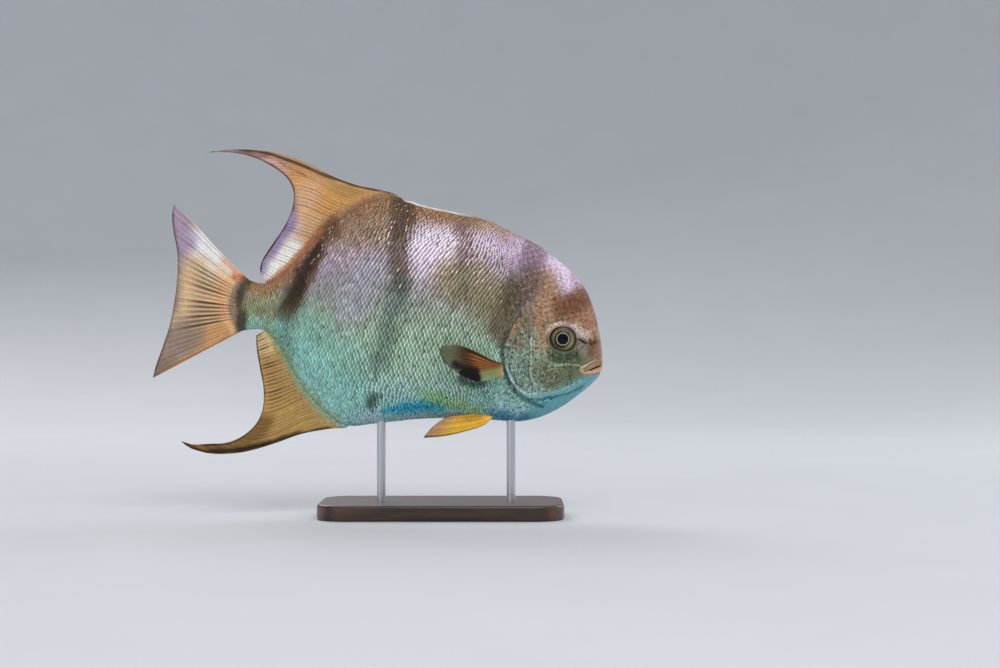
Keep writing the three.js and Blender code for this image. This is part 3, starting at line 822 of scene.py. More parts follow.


# The body's colour runs up from the keel to the ridge. Markings are airbrushed over it, from wide fields to
# fine strokes, some of them painted sheen, highlights and shade, each with its path in [back, up], half width
# and softness in mm, colour and strength.
bodyGround = [
    (0.0, "#97cbd3"), (0.12, "#98c8bf"), (0.3, "#98baa6"), (0.46, "#94a590"), (0.6, "#8e8e8b"),
    (0.76, "#a595a2"), (0.9, "#ad98a4"), (1.0, "#967562")]
bodyMarks = [
    # wide fields
    ("rear green", [(290, -12), (262, -30), (235, -45)], 14, 26, "#7dab9c", 0.65),
    ("rear teal", [(268, -40), (243, -58), (222, -74)], 7, 16, "#8abfb4", 0.75),
    ("stalk green", [(300, -13), (322, -15)], 5, 9, "#98c4ae", 0.78),
    ("stalk olive", [(290, 4), (304, 1), (320, 3)], 6, 11, "#8b8663", 0.8),
    ("stalk copper", [(290, 34), (299, 22), (312, 17), (325, 17)], 3, 7, "#94704b", 0.9),
    # painted sheen: the pale lilac highlights of the upper flank and the nape, and their fading edge
    ("sheen fade", [(120, 66), (150, 60), (184, 52)], 6, 26, "#b9a6b4", 0.6),
    ("upper sheen", [(148, 83), (158, 76), (168, 70)], 5, 25, "#f2daf8", 0.82),
    ("nape sheen", [(116, 90), (102, 86), (86, 80)], 4, 16, "#dabae2", 0.8),
    ("middle lilac", [(216, 44), (226, 26), (230, 8)], 5, 22, "#a3a0ac", 0.66),
    ("rear top", [(256, 84), (240, 86), (215, 90)], 6, 30, "#8a6f55", 0.85),
    ("ridge brown", [(255, 100), (228, 110), (201, 112), (164, 109), (140, 105)], 3, 17, "#8d6444", 0.85),
    ("ridge gold", [(152, 107), (136, 104), (120, 101), (106, 96)], 0, 12, "#a2824f", 0.45),
    ("shoulder olive", [(140, 50), (122, 43), (104, 32)], 7, 26, "#7f7150", 0.75),
    ("flank sage", [(120, -30), (150, -25), (180, -22)], 14, 26, "#a4c09c", 0.5),
    # lilac, with a painted sheen over it
    ("forehead lilac", [(80, 86), (62, 76), (47, 67), (36, 60)], 6, 13, "#fadcff", 0.95),
    ("forehead edge", [(36, 66), (27, 57), (18, 45), (12, 32)], 1.5, 9, "#b08fae", 0.65),
    ("head copper", [(66, 54), (60, 38), (59, 22), (58, 12)], 7, 20, "#ad8560", 0.82),
    ("snout rose", [(10, 18), (16, 28), (24, 38), (30, 34)], 6, 11, "#a8785a", 0.85),
    # painted highlight on the brow
    ("brow highlight", [(29, 20), (23, 16.4), (18, 15.5)], 2.2, 4.5, "#dbbfae", 0.8),
    ("snout front", [(5, 9), (8, 5), (9.5, 1)], 0.5, 9, "#9c6c42", 0.8),
    # painted shade under the brow's ledge
    ("shade under brow", [(22, 8), (16, 6.5), (11, 9.5), (4, 12)], 0.5, 2.6, "#5b3c26", 0.55),
    ("snout grey", [(24, 3), (19, 3.5), (16, -3)], 3.0, 9, "#7e745a", 0.8),
    ("snout pale", [(24, 6), (19.5, 2.5), (20, -2)], 1, 5, "#a09a8c", 0.6),
    ("snout rust", [(10.5, 8), (12, 3), (11, -1)], 0.3, 3.6, "#7c4528", 0.6),
    ("under the eye", [(42, -7), (36, -10), (28, -9)], 5, 8, "#46523c", 0.85),
    ("cheek", [(54, -22), (42, -27), (30, -24), (22, -19)], 5, 12, "#6a6c4c", 0.8),
    ("gill cover", [(76, 4), (75, -14), (70, -30)], 7, 14, "#7b9182", 0.8),
    ("gill cover top", [(74, 22), (78, 12), (80, 0)], 3, 10, "#80715a", 0.7),
    ("chin teal", [(8, -29), (22, -39.5), (42, -54), (60, -64)], 6, 9, "#6bbcc8", 0.9),
    ("chin grey", [(-1, -20), (5, -26), (11, -32)], 1.0, 4.5, "#a8c2c8", 0.7),
    ("jaw shade", [(15, -31), (20, -34.5), (27, -39), (42, -44.6), (54, -48), (63, -49)], 0.1, 1.8,
     "#2f6b74", 0.75),
    ("breast teal", [(102, -42), (90, -51), (78, -57)], 8, 14, "#86b8aa", 0.75),
    ("breast pale", [(86, -56), (77, -60), (66, -60)], 3, 8, "#a8dbdf", 0.82),
    ("breast blue", [(92, -67), (78, -68.5), (62, -66.5)], 0.5, 8, "#3f86ab", 0.75),
    ("belly blue", [(184, -79), (170, -73.5), (152, -68), (140, -68)], 1, 10, "#229bc4", 0.9),
    ("belly moss", [(152, -58), (131, -61), (108, -66)], 0.5, 10, "#8cbb7a", 0.75),
    # painted highlight along the keel
    ("keel highlight", [(205, -88), (180, -84), (150, -78), (120, -74)], 2, 8, "#b4dde2", 0.75),
    # bars
    ("eye bar", [(26, 49), (33, 44), (41, 38)], 3.5, 12, "#6b4024", 0.75),
    ("eye bar low", [(41, 38), (40, 27)], 3, 9, "#7d5638", 0.45),
    ("nape bar", [(75, 92), (76, 70), (77, 52), (84, 40)], 4.5, 16, "#64505a", 0.66),
    ("nape bar low", [(86, 46), (92, 30), (95, 8)], 4.5, 13, "#5c5039", 0.72),
    ("shoulder bar", [(141, 104), (140, 92), (137, 79), (133, 66)], 1.5, 12, "#6d5654", 0.7),
    ("shoulder bar low", [(133, 56), (134, 38)], 2.5, 12, "#67644e", 0.5),
    ("main bar", [(197, 112), (195, 97), (196, 82), (196, 68), (192, 53), (189, 37)], 2, 13.5,
     "#57493f", 0.85),
    ("main bar top", [(197, 112), (195, 98), (196, 86)], 3.5, 10, "#4f3520", 0.75),
    ("main bar low", [(189, 37), (190, 15), (194, -8), (198, -36)], 2, 14, "#52635a", 0.58),
    ("belly spot", [(200, -66), (201, -72)], 0.6, 7.5, "#3a5040", 0.8),
    ("rear bar", [(260, 84), (266, 73), (274, 47), (281, 22), (283, 10)], 1.5, 13, "#4a2a14", 0.9),
    ("rear bar dark", [(270, 58), (276, 40), (282, 20)], 0.5, 11, "#180f05", 0.5),
    ("rear bar foot", [(285, 12), (287, -2)], 0.5, 15, "#2e2a1c", 0.62),
    ("rear bar low", [(289, -14), (289, -23), (284, -36)], 2, 13, "#638c7c", 0.55),
    ("tail bar", [(328, 22), (330.5, 12), (331, -2), (327.5, -22)], 0.6, 7, "#2c2b1b", 0.75),
    # edges and small marks
    ("rust line", [(308, 23), (296, 35), (284, 48), (273, 65), (263, 82), (250, 97)], 1.2, 4, "#a2694a", 0.8),
    ("anal edge", [(303, -22), (289, -37), (280, -51), (266, -66), (249, -82), (232, -92)], 1, 7,
     "#8b9a6c", 0.7),
    ("eyelid", roundEye(12.6, 20, 160), 1.2, 2.2, "#c3a0a4", 0.9),
    ("eyelid shine", roundEye(14.6, 30, 150), 0.1, 1.6, "#f2d9c0", 0.6),
    # painted shade: the fold under the eyelid and the socket round the eye are darkened where shade falls
    ("eyelid fold", roundEye(10.9, 15, 165), 0.1, 1.0, "#4a3426", 0.8),
    ("socket", roundEye(9.7), 1.2, 1.2, "#2e2616", 0.9),
    ("socket skin", roundEye(12.2, 170, 370), 0.5, 1.6, "#77755a", 0.6),
    ("upper lip", [(-1, -3.5), (5, -7.4), (10.5, -11.8), (15.5, -15.4)], 2.8, 2.2, "#a5946c", 0.95),
    ("lip blush", [(-1, -1), (1.5, -5), (5, -9.5)], 1.2, 3.0, "#bd8044", 0.85),
    ("lip shine", [(2.5, -1.8), (8, -6.8), (14, -10.8), (18.6, -13.6)], 0.35, 1.1, "#ecd9ae", 0.9),
    ("maxilla", [(12.5, -11), (16.2, -14), (18.6, -16.4), (16.8, -17.6)], 0.9, 1.3, "#d6b680", 0.9),
    # painted shade in the groove along the top of the upper lip and in its crease
    ("lip top line", headLines["upperLipTop"][1:], 0.05, 0.7, "#4e3a24", 0.7),
    ("lip crease line", headLines["lipCrease"], 0.1, 0.7, "#4a3d2a", 0.85),
    ("lower lip", [(-2, -13), (4, -15.3), (9, -17.4), (14, -19.2)], 1.3, 1.5, "#f2b083", 0.97),
    ("lower lip shine", [(1, -15), (6, -16.8), (11, -18.4)], 0.1, 1.0, "#f5e2cc", 0.6),
    ("lower lip foot", headLines["lowerLipFoot"], 0.2, 1.1, "#7d7f7b", 0.6),
    # painted shade in the mouth's slit, the nostrils and the fold from the nostril
    ("mouth slit", headLines["mouth"][:4], 0.2, 0.9, "#422513", 0.88),
    ("nostril", headLines["nostril"], 0.3, 1.1, "#1f1812", 0.9),
    ("nostril fold", headLines["nostrilFold"], 0.05, 0.9, "#3a2a1e", 0.5),
    ("front nostril", headLines["frontNostril"], 0.1, 0.9, "#4a3a2c", 0.7),
    ("cheek crease", headLines["cheekCrease"], 0.2, 1.5, "#b9c6ac", 0.75),
    # painted shade in the fold under the eye
    ("eye fold", headLines["eyeFold"], 0.1, 0.9, "#2c2b1f", 0.6),
    ("cheek line", headLines["cheekPlate"][1:], 0.3, 1.1, "#d3e6d2", 0.9),
    ("jaw line", [(70, -42.6), (63, -44.6), (54, -43), (39, -38.6), (25, -32.5), (17, -26)], 0.5, 2.0,
     "#a8dcd8", 0.8),
    ("gill edge top", [(78.4, 26), (80.3, 22.4), (82, 17.6), (83.6, 11.8), (86.4, 2)], 0.8, 2.2,
     "#b08a68", 0.85),
    ("gill edge", [(86.6, 2), (88.4, -6), (86.9, -14.3), (83.8, -25)], 0.5, 1.5, "#8f9d8c", 0.7),
    ("gill edge low", [(84.6, -22), (82, -28.6), (78, -34.4), (71.2, -41.2)], 0.5, 1.2, "#bfe2e2", 0.85),
    ("gill edge line", [(84.6, 1.5), (86.2, -6), (84.8, -13.8), (81.6, -24.4), (76, -33.2), (69.4, -39.6)],
     0.05, 1.0, "#43584f", 0.75),
    # painted shade in the notch at the top of the gill opening
    ("gill notch", [(79, 27), (82.4, 20.6)], 0.5, 1.4, "#2b2216", 0.9),
    ("gill shade", [(92.6, -6), (90.6, -15.5), (87.3, -27), (81.4, -37.2), (74.3, -44.6), (66.4, -48.8),
                    (56, -52.6), (48, -54.4)], 0.2, 1.5, "#2c4a45", 0.7),
    # painted shadow in the crease under the pectoral fin
    ("shade under the pectoral", [(104, -39), (113, -42.4), (122, -39)], 1.5, 4, "#2c3a30", 0.7),
]
finGrounds = {"dorsal": "#dbad7d", "anal": "#bf9c60", "tail": "#e6c298"}
finMarks = {
    "dorsal": [
        ("root tan", [(262, 92), (245, 106), (222, 113), (204, 114)], 3, 10, "#c8976a", 0.8),
        ("gold", [(300, 114), (284, 106), (264, 103), (240, 109)], 5, 20, "#e2a85f", 0.85),
        ("peach", [(293, 84), (290, 96), (286, 108)], 4, 16, "#ecc09c", 0.8),
        ("pale web", [(314, 36), (303, 54), (296, 72)], 5, 15, "#dcc6c2", 0.85),
        ("cream", [(308, 32), (300, 43), (294, 54)], 3.5, 15, "#fffdf8", 0.98),
        ("lavender", [(320, 34), (314, 48), (306, 62), (301, 76), (300, 94)], 1.0, 11, "#8a79ab", 0.78),
        ("grey web", [(308, 112), (301, 104), (300, 94)], 2, 10, "#a9918c", 0.6),
        ("tip", [(381, 131.5), (356, 134.5), (332, 132), (312, 124)], 4, 9, "#d3aea4", 0.85),
        ("tip streak", [(378, 132.6), (356, 136), (333, 134.6), (312, 130)], 0.3, 1.6, "#f0d2c4", 0.8),
        ("tip grey", [(384, 132), (362, 134), (335, 133)], 1.5, 7, "#77757f", 0.6),
        ("tip rust", [(345, 136.6), (322, 134.4), (303, 127.6), (288, 123)], 0.1, 1.8, "#9c6038", 0.55),
        ("front olive", [(262, 116), (236, 113), (214, 115)], 0, 9, "#ac8a52", 0.4),
        ("leading edge", [(351, 138.6), (324, 138.4), (296, 132.6), (267, 124.6), (239, 120.2), (218, 119.2),
                          (203, 117.6)], 0.2, 2.2, "#4a3325", 0.75),
        ("trailing edge", [(344, 133), (322, 127.5), (306, 119), (298, 108), (297, 92), (302, 75), (312, 54),
                           (318, 41), (318, 32)], 0.4, 1.5, "#261916", 0.92),
        ("rust root", [(306, 25), (295, 38), (280, 57), (268, 76), (256, 91)], 0.2, 4.6, "#bb7444", 0.75)],
    "anal": [
        ("pale rear", [(309, -28), (303, -38)], 3, 10, "#f6d8a2", 0.8),
        ("gold", [(303, -56), (295, -76), (292, -98)], 5, 18, "#cfa564", 0.7),
        ("olive", [(282, -84), (270, -95), (262, -102)], 3, 14, "#cba65e", 0.7),
        ("yellow", [(322, -127), (303, -114), (296, -104)], 3, 11, "#7d6030", 0.8),
        ("tip", [(368, -130), (352, -133), (334, -132)], 3, 7, "#8f6436", 0.9),
        ("leading edge", [(340, -135.5), (313, -131.2), (290, -122), (262, -109.6), (235, -101.6)], 0.5, 3.8,
         "#3a2e10", 0.85),
        ("front edge", [(367, -130.6), (349, -136.4), (331, -135), (313, -130.9), (288, -121)], 0.4, 1.8,
         "#32240f", 0.9),
        ("trailing edge", [(313, -27), (311.5, -36), (306, -54), (299.5, -74), (298, -92), (302, -105.5),
                           (313, -118.5), (326, -126), (345, -129.6), (366, -129.6)], 0.3, 1.5,
         "#241a12", 0.9)],
    "tail": [
        # painted highlight over the upper lobe
        ("upper sheen", [(376, 50), (364, 38), (354, 28)], 6, 17, "#ffffff", 1.0),
        ("upper lilac", [(405, 80), (397, 64), (390, 50), (395, 34)], 3, 16, "#ab9cbf", 0.85),
        ("upper rose", [(350, 37), (340, 30), (333, 25)], 0.2, 9, "#f0ac84", 0.6),
        ("amber", [(352, 20), (355, 4), (354, -12)], 2, 14, "#ffce96", 0.8),
        ("middle cream", [(376, 22), (380, 2), (374, -16)], 6, 20, "#e9c99c", 0.8),
        ("hind grey", [(398, 36), (394, 5), (396, -40)], 0.5, 14, "#8f8586", 0.6),
        ("lower tan", [(368, -42), (352, -33), (340, -26)], 4, 15, "#dba36c", 0.8),
        ("lower grey", [(396, -64), (386, -48), (376, -36)], 5, 20, "#94867c", 0.8),
        ("lower tip", [(400, -76), (390, -67)], 1, 16, "#84745f", 0.7),
        ("hind edge", [(404, 72), (401, 57), (395.5, 40), (392.4, 22), (391.5, 4), (391.6, -10), (392.6, -28),
                       (396, -48), (399.6, -70)], 0.5, 2.2, "#5a4f4c", 0.7),
        ("lower edge", [(392, -71), (370, -56), (350, -43), (332, -29)], 0.8, 3, "#cf8a4c", 0.7),
        ("scaled root", [(331, 19), (336, 8), (336, -6), (331, -18)], 3.5, 4.5, "#9a7f6c", 0.85),
        ("root rim", [(337, 25), (346, 18), (348.5, 6), (346.5, -6), (343, -15), (335, -24)], 1.4, 4.5,
         "#ffc48e", 0.97),
        ("bar", [(328, 22), (330.5, 12), (331, -2), (327.5, -22)], 0.6, 7, "#2c2b1b", 0.75),
        ("tail stain", [(331, 24.5), (340, 23.5)], 0.4, 4, "#b04a2c", 0.5)],
}


# Lays the strokes over a colour. Their edges waver, more where they are soft.
def airbrush(colour, marks, back, up):
    wobble = 1.4 * unevenness(back, up, 16, 3) + 0.7 * unevenness(back, up, 5, 4)
    wobble = wobble * (0.15 + 0.85 * between(back, 8, 40))      # the snout's marks have clean edges
    for _, path, halfWidth, soft, code, strength in marks:
        distance = fromLine(path, back, up)[0]
        distance = distance + wobble * min(soft / 9, 1)
        cover = strength * smooth(1 - (distance - halfWidth) / soft)
        colour = mixIn(colour, hexColour(code), cover)
    return colour


# Colours along a ramp of [position, code] stops.
def colourRamp(stops, at):
    known, codes = zip(*stops)
    colours = np.array([hexColour(code) for code in codes])
    return np.stack([np.interp(at, known, colours[:, k]) for k in range(3)], -1)


def paintBody(back, up):
    low, high = bellyLine(back), backLine(back)
    level = np.clip((up - low) / np.maximum(high - low, 1), 0, 1)
    return airbrush(colourRamp(bodyGround, level), bodyMarks, back, up)


# The colour of an unpaired fin, where ray share u is at v of its length.
def paintFin(name, u, v, places):
    fin = fins[name]
    colour = np.broadcast_to(hexColour(finGrounds[name]), places.shape)
    colour = airbrush(colour, finMarks[name], places[..., 0], places[..., 1])
    # darker webs between the rays, each a little different
    rng = np.random.default_rng(11)
    streaks = fin["streaks"]
    nearest = np.clip(np.round(u * streaks - 0.5).astype(int) + 1, 0, streaks + 1)
    depth = rng.uniform(0.04, 0.24, streaks + 2)[nearest]
    if name == "tail":
        depth = depth * (1 + 3.0 * bump(u, 0.3, 0.74, 0.08) * bump(v, 0.3, 0.72, 0.14))
    if name == "anal":
        depth = depth * (1 + 2.0 * between(u, 0.3, 0.6) * between(v, 0.25, 0.7))
    web = (0.5 - 0.5 * np.cos(2 * math.pi * streaks * u)) * between(v, 0.04, 0.2)
    colour = colour * (1 - depth * web * (1 - 0.6 * between(v, 0.75, 1)))[..., None]
    # the body's colour runs out over the root
    root = finRootAt(name, u)
    ground = paintBody(np.minimum(root[..., 0], body["rear"] - 0.1), root[..., 1])
    run = v * rayLength(fin, u, root * [1, 1, 0]) / stepsThrough(fin["blend"], u)
    return mixIn(colour, ground, 1 - smooth(run))


pairedMarks = {
    "pectoral": [
        ("lobe", [(88, -28), (97, -31), (105, -34.5)], 3.0, 4.6, "#99a06e", 0.92),
        ("lobe foot", [(94, -33), (106, -38)], 0.8, 3, "#8fb08a", 0.7),
        ("dark streaks", [(131, -27), (121, -28.5), (112, -30)], 0.8, 4.4, "#0b0703", 0.8),
        # painted shadow: the deep shade under the fin, painted dark on its lower part
        ("black patch", [(121, -33), (115, -34.5), (111, -36)], 2.4, 3.6, "#020101", 0.98),
        ("root", [(84, -24), (87, -29)], 1.6, 6, "#d9ab6c", 0.8)],
    "pelvic": [],
}
pectoralTones = {"web": "#4a2a10", "ray": "#d08a45", "frontEdge": "#241505",
                 "tipFront": "#667055", "tipRear": "#82927a"}
# the pelvic fin's rim tone is a painted highlight on its upper edge
pelvicTones = {"gold": "#ffc640", "tip": "#c99c74", "warm": "#e0913f", "rim": "#fff6dc"}


# The grounds of the paired fins: u runs from the front ray to the last one, v from the root to the rim.
def paintPectoral(u, v):
    tones = {name: hexColour(code) for name, code in pectoralTones.items()}
    stripe = 0.5 + 0.5 * np.cos(2 * math.pi * fins["pectoral"]["rays"] * u)
    colour = mixIn(tones["web"], tones["ray"], stripe * (1 - between(v, 0.45, 0.72)))
    colour = mixIn(colour, tones["frontEdge"], 0.85 * (1 - between(u, 0.0, 0.08)))
    tip = mixIn(tones["tipFront"], tones["tipRear"], between(u, 0.1, 0.5))
    return mixIn(colour, tip, 0.95 * between(v - 0.12 * u, 0.6, 0.86))


def paintPelvic(u, v):
    tones = {name: hexColour(code) for name, code in pelvicTones.items()}
    colour = mixIn(tones["gold"], tones["tip"], between(v, 0.6, 1.0))
    colour = mixIn(colour, tones["warm"], 0.7 * bump(u, 0.25, 0.55, 0.12) * bump(v, 0.2, 0.6, 0.15))
    stripe = 0.5 - 0.5 * np.cos(2 * math.pi * fins["pelvic"]["rays"] * u)
    colour = colour * (1 - 0.12 * stripe * between(v, 0.05, 0.25))[..., None]
    # painted highlight along the upper edge, near the root
    rim = between(u, 0.55, 0.75) * between(v, 0.05, 0.2) * (1 - between(v, 0.45, 0.65))
    return mixIn(colour, tones["rim"], 0.8 * rim)


# The skin is one welded mesh of body and fins.
charts = {                      # rectangles of its unwrap, for the right and the left side
    "body": [(0.005, 0.60, 0.495, 0.995), (0.505, 0.60, 0.995, 0.995)],
    "dorsal": [(0.005, 0.41, 0.245, 0.59), (0.255, 0.41, 0.495, 0.59)],
    "anal": [(0.505, 0.41, 0.745, 0.59), (0.755, 0.41, 0.995, 0.59)],
    "tail": [(0.005, 0.21, 0.245, 0.40), (0.255, 0.21, 0.495, 0.40)],
    "pectoral": [(0.505, 0.21, 0.62, 0.40), (0.63, 0.21, 0.745, 0.40)],
    "pectoralInner": [(0.755, 0.21, 0.87, 0.40), (0.88, 0.21, 0.995, 0.40)],
    "pelvic": [(0.005, 0.01, 0.12, 0.20), (0.13, 0.01, 0.245, 0.20)],
    "pelvicInner": [(0.255, 0.01, 0.37, 0.20), (0.38, 0.01, 0.495, 0.20)],
    "crest": [(0.505, 0.11, 0.745, 0.20), (0.755, 0.11, 0.995, 0.20)],
    "web": [(0.505, 0.01, 0.745, 0.10), (0.755, 0.01, 0.995, 0.10)],
}
skin = {"places": [], "uv": [], "pattern": [], "rayPlace": [], "faces": [], "finish": [], "count": 0}
skinFinishes = ["skin", "fins"]      # in the order of the mesh's materials
sides = {"right": -1, "left": 1}


# Adds a block of vertices, given in mm on the left side, and returns their numbers in the skin.
def addToSkin(places, chart, side, share, colour, rayPlace=None):
    shape = places.shape[:-1]
    ids = skin["count"] + np.arange(int(np.prod(shape))).reshape(shape)
    skin["count"] += ids.size
    left, bottom, right, top = charts[chart][0 if side < 0 else 1]
    uv = np.stack([left + (right - left) * share[0], bottom + (top - bottom) * share[1]], -1)
    if rayPlace is None:
        rayPlace = np.zeros(shape + (3,))
    skin["places"].append(toWorld(places * [1, 1, side]).reshape(-1, 3))
    skin["uv"].append(uv.reshape(-1, 2))
    skin["pattern"].append(toLinear(colour).reshape(-1, 3))
    skin["rayPlace"].append(rayPlace.reshape(-1, 3))
    return ids


def addFaces(faces, finish):
    skin["faces"].append(faces)
    skin["finish"].append(np.full(len(faces), skinFinishes.index(finish)))


# Angles round one ring, close together where the head has small features and at the ridge and keel.
def ringAngles(back, columns):
    angle = np.linspace(-math.pi / 2, math.pi / 2, 721)
    place = bodyPlace(back, angle)
    step = np.linalg.norm(np.diff(place, axis=0), axis=1)
    up = (place[1:, 1] + place[:-1, 1]) / 2
    head = 1 - between(back, 80, 110)
    mouth = 1 - between(back, 22, 34)
    weight = 1 + 1.6 * head * bump(up, -46, 26, 6) + 2.2 * mouth * bump(up, -21, 0, 4)
    weight = weight + 1.5 * np.exp(-(place[-1, 1] - up) / 7) + 1.5 * np.exp(-(up - place[0, 1]) / 7)
    total = np.concatenate([[0], np.cumsum(step * weight)])
    return np.interp(np.linspace(0, total[-1], columns + 1), total, angle)


def stationsBetween(start, end, spacing):
    return np.linspace(start, end, max(round((end - start) / spacing), 1) + 1)


# Makes the body in rings of vertices and returns where the rings behind the head are, for the fins' roots.
def bodyBlocks():
    nose = body["noseTip"] + body["noseRound"] * np.linspace(0, 1, 8) ** 2
    mouth = stationsBetween(nose[-1], 26, 0.5)
    cheek = stationsBetween(26, body["headEnd"], 0.85)
    middle = stationsBetween(body["headEnd"], body["finStart"], 2.4)
    fin = stationsBetween(body["finStart"], body["finEnd"], 1.0)
    stalk = stationsBetween(body["finEnd"], body["rear"], 1.8)
    head = np.concatenate([nose, mouth[1:], cheek[1:]])
    rear = np.concatenate([middle[1:], fin[1:], stalk[1:]])
    columns = body["headColumns"]
    share = np.linspace(0, 1, columns + 1)
    headAngles = np.array([ringAngles(back, columns) for back in head])
    rearAngles = np.array([ringAngles(back, columns // 2) for back in rear])
    headPlaces = skinPlace(head[:, None] + 0 * headAngles, headAngles)
    rearPlaces = bodyPlace(rear[:, None] + 0 * rearAngles, rearAngles)
    mottle = sum(unevenness(headPlaces[..., 0], headPlaces[..., 1], size, 31) for size in (1.8, 3.6))
    tone = (body["headTone"] + body["headMottle"] * mottle)[..., None]
    headColour = paintBody(headPlaces[..., 0], headPlaces[..., 1]) * tone
    rearColour = paintBody(rearPlaces[..., 0], rearPlaces[..., 1]) * body["rearGapShade"]
    start, end = body["chart"]
    headShare = ((headPlaces[..., 0] - start) / (end - start), np.broadcast_to(share, headAngles.shape))
    rearShare = ((rearPlaces[..., 0] - start) / (end - start), np.broadcast_to(share[::2], rearAngles.shape))
    for side in sides.values():
        ids = addToSkin(headPlaces, "body", side, headShare, headColour)
        addFaces(gridFaces(ids, side < 0), "skin")
        rearIds = addToSkin(rearPlaces, "body", side, rearShare, rearColour)
        addFaces(gridFaces(rearIds, side < 0), "skin")
        addFaces(seamFaces(rearIds[0], ids[-1], side > 0), "skin")
    return rear, rearPlaces


# The strip of a fin beyond its root: the root row is the body's own row of vertices.
def finStrip(name, rootRow, u, upward):
    fin = fins[name]
    fin["rootShare"], fin["rootRow"] = u, rootRow
    fine = np.interp(np.arange(2 * len(u) - 1) / 2, np.arange(len(u)), u)
    rootFine = finRootAt(name, fine)
    v = np.linspace(0, 1, fin["steps"] + 1)[1:] ** 1.12      # a little closer at the root
    uu, vv = np.meshgrid(fine, v)
    root = np.broadcast_to(rootFine * [1, 1, 0], uu.shape + (3,))
    middle = finMiddle(fin, uu, vv, root)
    rootThick = np.broadcast_to(rootFine[:, 2], uu.shape)
    half = finHalf(fin, uu, vv, root, rootThick)
    flag = np.ones_like(uu) * between(vv, 0.02, 0.12)
    rayPlace = np.stack([uu * fin["streaks"], vv, flag], -1)
    colour = paintFin(name, uu, vv, middle)
    rootColour = paintFin(name, u, 0 * u, rootRow)
    for side in sides.values():
        wave = middle[..., 2] * side
        face = np.stack([middle[..., 0], middle[..., 1], wave + half], -1)
        ids = addToSkin(face, name, side, (uu, 0.02 + 0.98 * vv), colour, rayPlace)
        rowIds = addToSkin(rootRow, name, side, (u, 0 * u), rootColour)
        flip = (side < 0) ^ (not upward)
        addFaces(gridFaces(ids, not flip), "fins")
        addFaces(seamFaces(rowIds, ids[0], not flip), "fins")


# The dorsal and the anal fin stand on the ridge and the keel, and the tail fin on the body's last ring.
def unpairedFins(stations, places):
    for name, column in (("dorsal", -1), ("anal", 0)):
        root = finRoots[name]
        rows = np.flatnonzero((stations > root["from"] - 0.01) & (stations < root["to"] + 0.01))
        rootRow = places[rows, column]
        steps = np.linalg.norm(np.diff(rootRow[:, :2], axis=0), axis=1)
        u = np.concatenate([[0], np.cumsum(steps)])
        finStrip(name, rootRow, u / u[-1], name == "dorsal")
    lastRing = places[-1][::-1]
    u = (lastRing[0, 1] - lastRing[:, 1]) / (lastRing[0, 1] - lastRing[-1, 1])
    finStrip("tail", lastRing, u, False)


def pairedFin(name, paintGround):
    fin = fins[name]
    u = np.linspace(0, 1, fin["columns"] + 1)
    v = np.linspace(0, 1, fin["steps"] + 1)
    uu, vv = np.meshgrid(u, v)
    root = fin["baseLine"](uu)
    middle = finMiddle(fin, uu, vv, root)
    half = finHalf(fin, uu, vv, root, fin["rootHalf"] * np.sqrt(np.clip(8 * uu * (1 - uu), 0, 1)))
    half = half * np.sqrt(np.clip(vv / 0.03, 0, 1))
    colour = airbrush(paintGround(uu, vv), pairedMarks[name], middle[..., 0], middle[..., 1])
    rayPlace = np.stack([uu * fin["streaks"], vv, between(vv, 0.05, 0.2)], -1)
    for side in sides.values():
        for face, chart in ((1, name), (-1, name + "Inner")):
            places = middle + fin["through"] * (face * half)[..., None]
            ids = addToSkin(places, chart, side, (uu, vv), colour, rayPlace)
            addFaces(gridFaces(ids, side * face > 0), "fins")


# The spines of the first dorsal fin lie folded on the back, each over the foot of the next, with a low web
# between them. Places are in mm behind the snout.
crest = {"from": 110.0, "to": 196.5, "spines": 9, "reach": 24.0, "thick": 1.0, "lift": 2.1,
         "pales": (124, 150), "webRise": (2.0, 0.5), "webHalf": (0.3, 1.5),
         # the pale spine and web colours are partly a painted highlight along the top of the back, and under
         # is painted shade on the spines' undersides
         "spinePaleHighlight": "#f4eeee", "under": "#b59a92", "web": "#f1e8ea", "webFoot": "#96796a"}


def crestTop(back):
    return backLine(back) - body["coatDepth"]


# The crest has the back's own colour at its front and pales towards its rear, where its pale colour is partly
# a painted highlight.
def crestTint(back, colour):
    ground = paintBody(back, crestTop(back) - 3)[:, None]
    return mixIn(ground, colour, between(back, *crest["pales"])[:, None])


def foldedSpine(index):
    turn = np.linspace(0, 2 * math.pi, 11)
    t = np.linspace(0, 1, 14)
    start = crest["from"] + (crest["to"] - crest["from"] - crest["reach"]) * index / (crest["spines"] - 1)
    back = start + crest["reach"] * t
    height = crestTop(back) - 0.6 + crest["lift"] * np.sin(math.pi * (0.08 + 0.62 * t)) * (1 - 0.25 * t)
    blunt = np.sqrt(np.clip(t / 0.03, 0, 1) * np.clip((1 - t) / 0.04, 0, 1))
    radius = crest["thick"] * (1 - 0.8 * t) * blunt
    lean = 0.55 * (-1) ** index * (1 - t)
    places = np.stack([back[:, None] + 0 * turn, height[:, None] + radius[:, None] * np.cos(turn),
                       lean[:, None] + 1.1 * radius[:, None] * np.sin(turn)], -1)
    # painted shade: each spine is darker on its underside
    under = 0.5 - 0.5 * np.cos(turn)
    colour = mixIn(hexColour(crest["spinePaleHighlight"]) + 0 * places, hexColour(crest["under"]), under)
    shape = places.shape[:-1]
    share = (np.broadcast_to((index + t[:, None]) / crest["spines"], shape), np.broadcast_to(turn / 7, shape))
    addFaces(gridFaces(addToSkin(places, "crest", 1, share, crestTint(back, colour)), True), "skin")


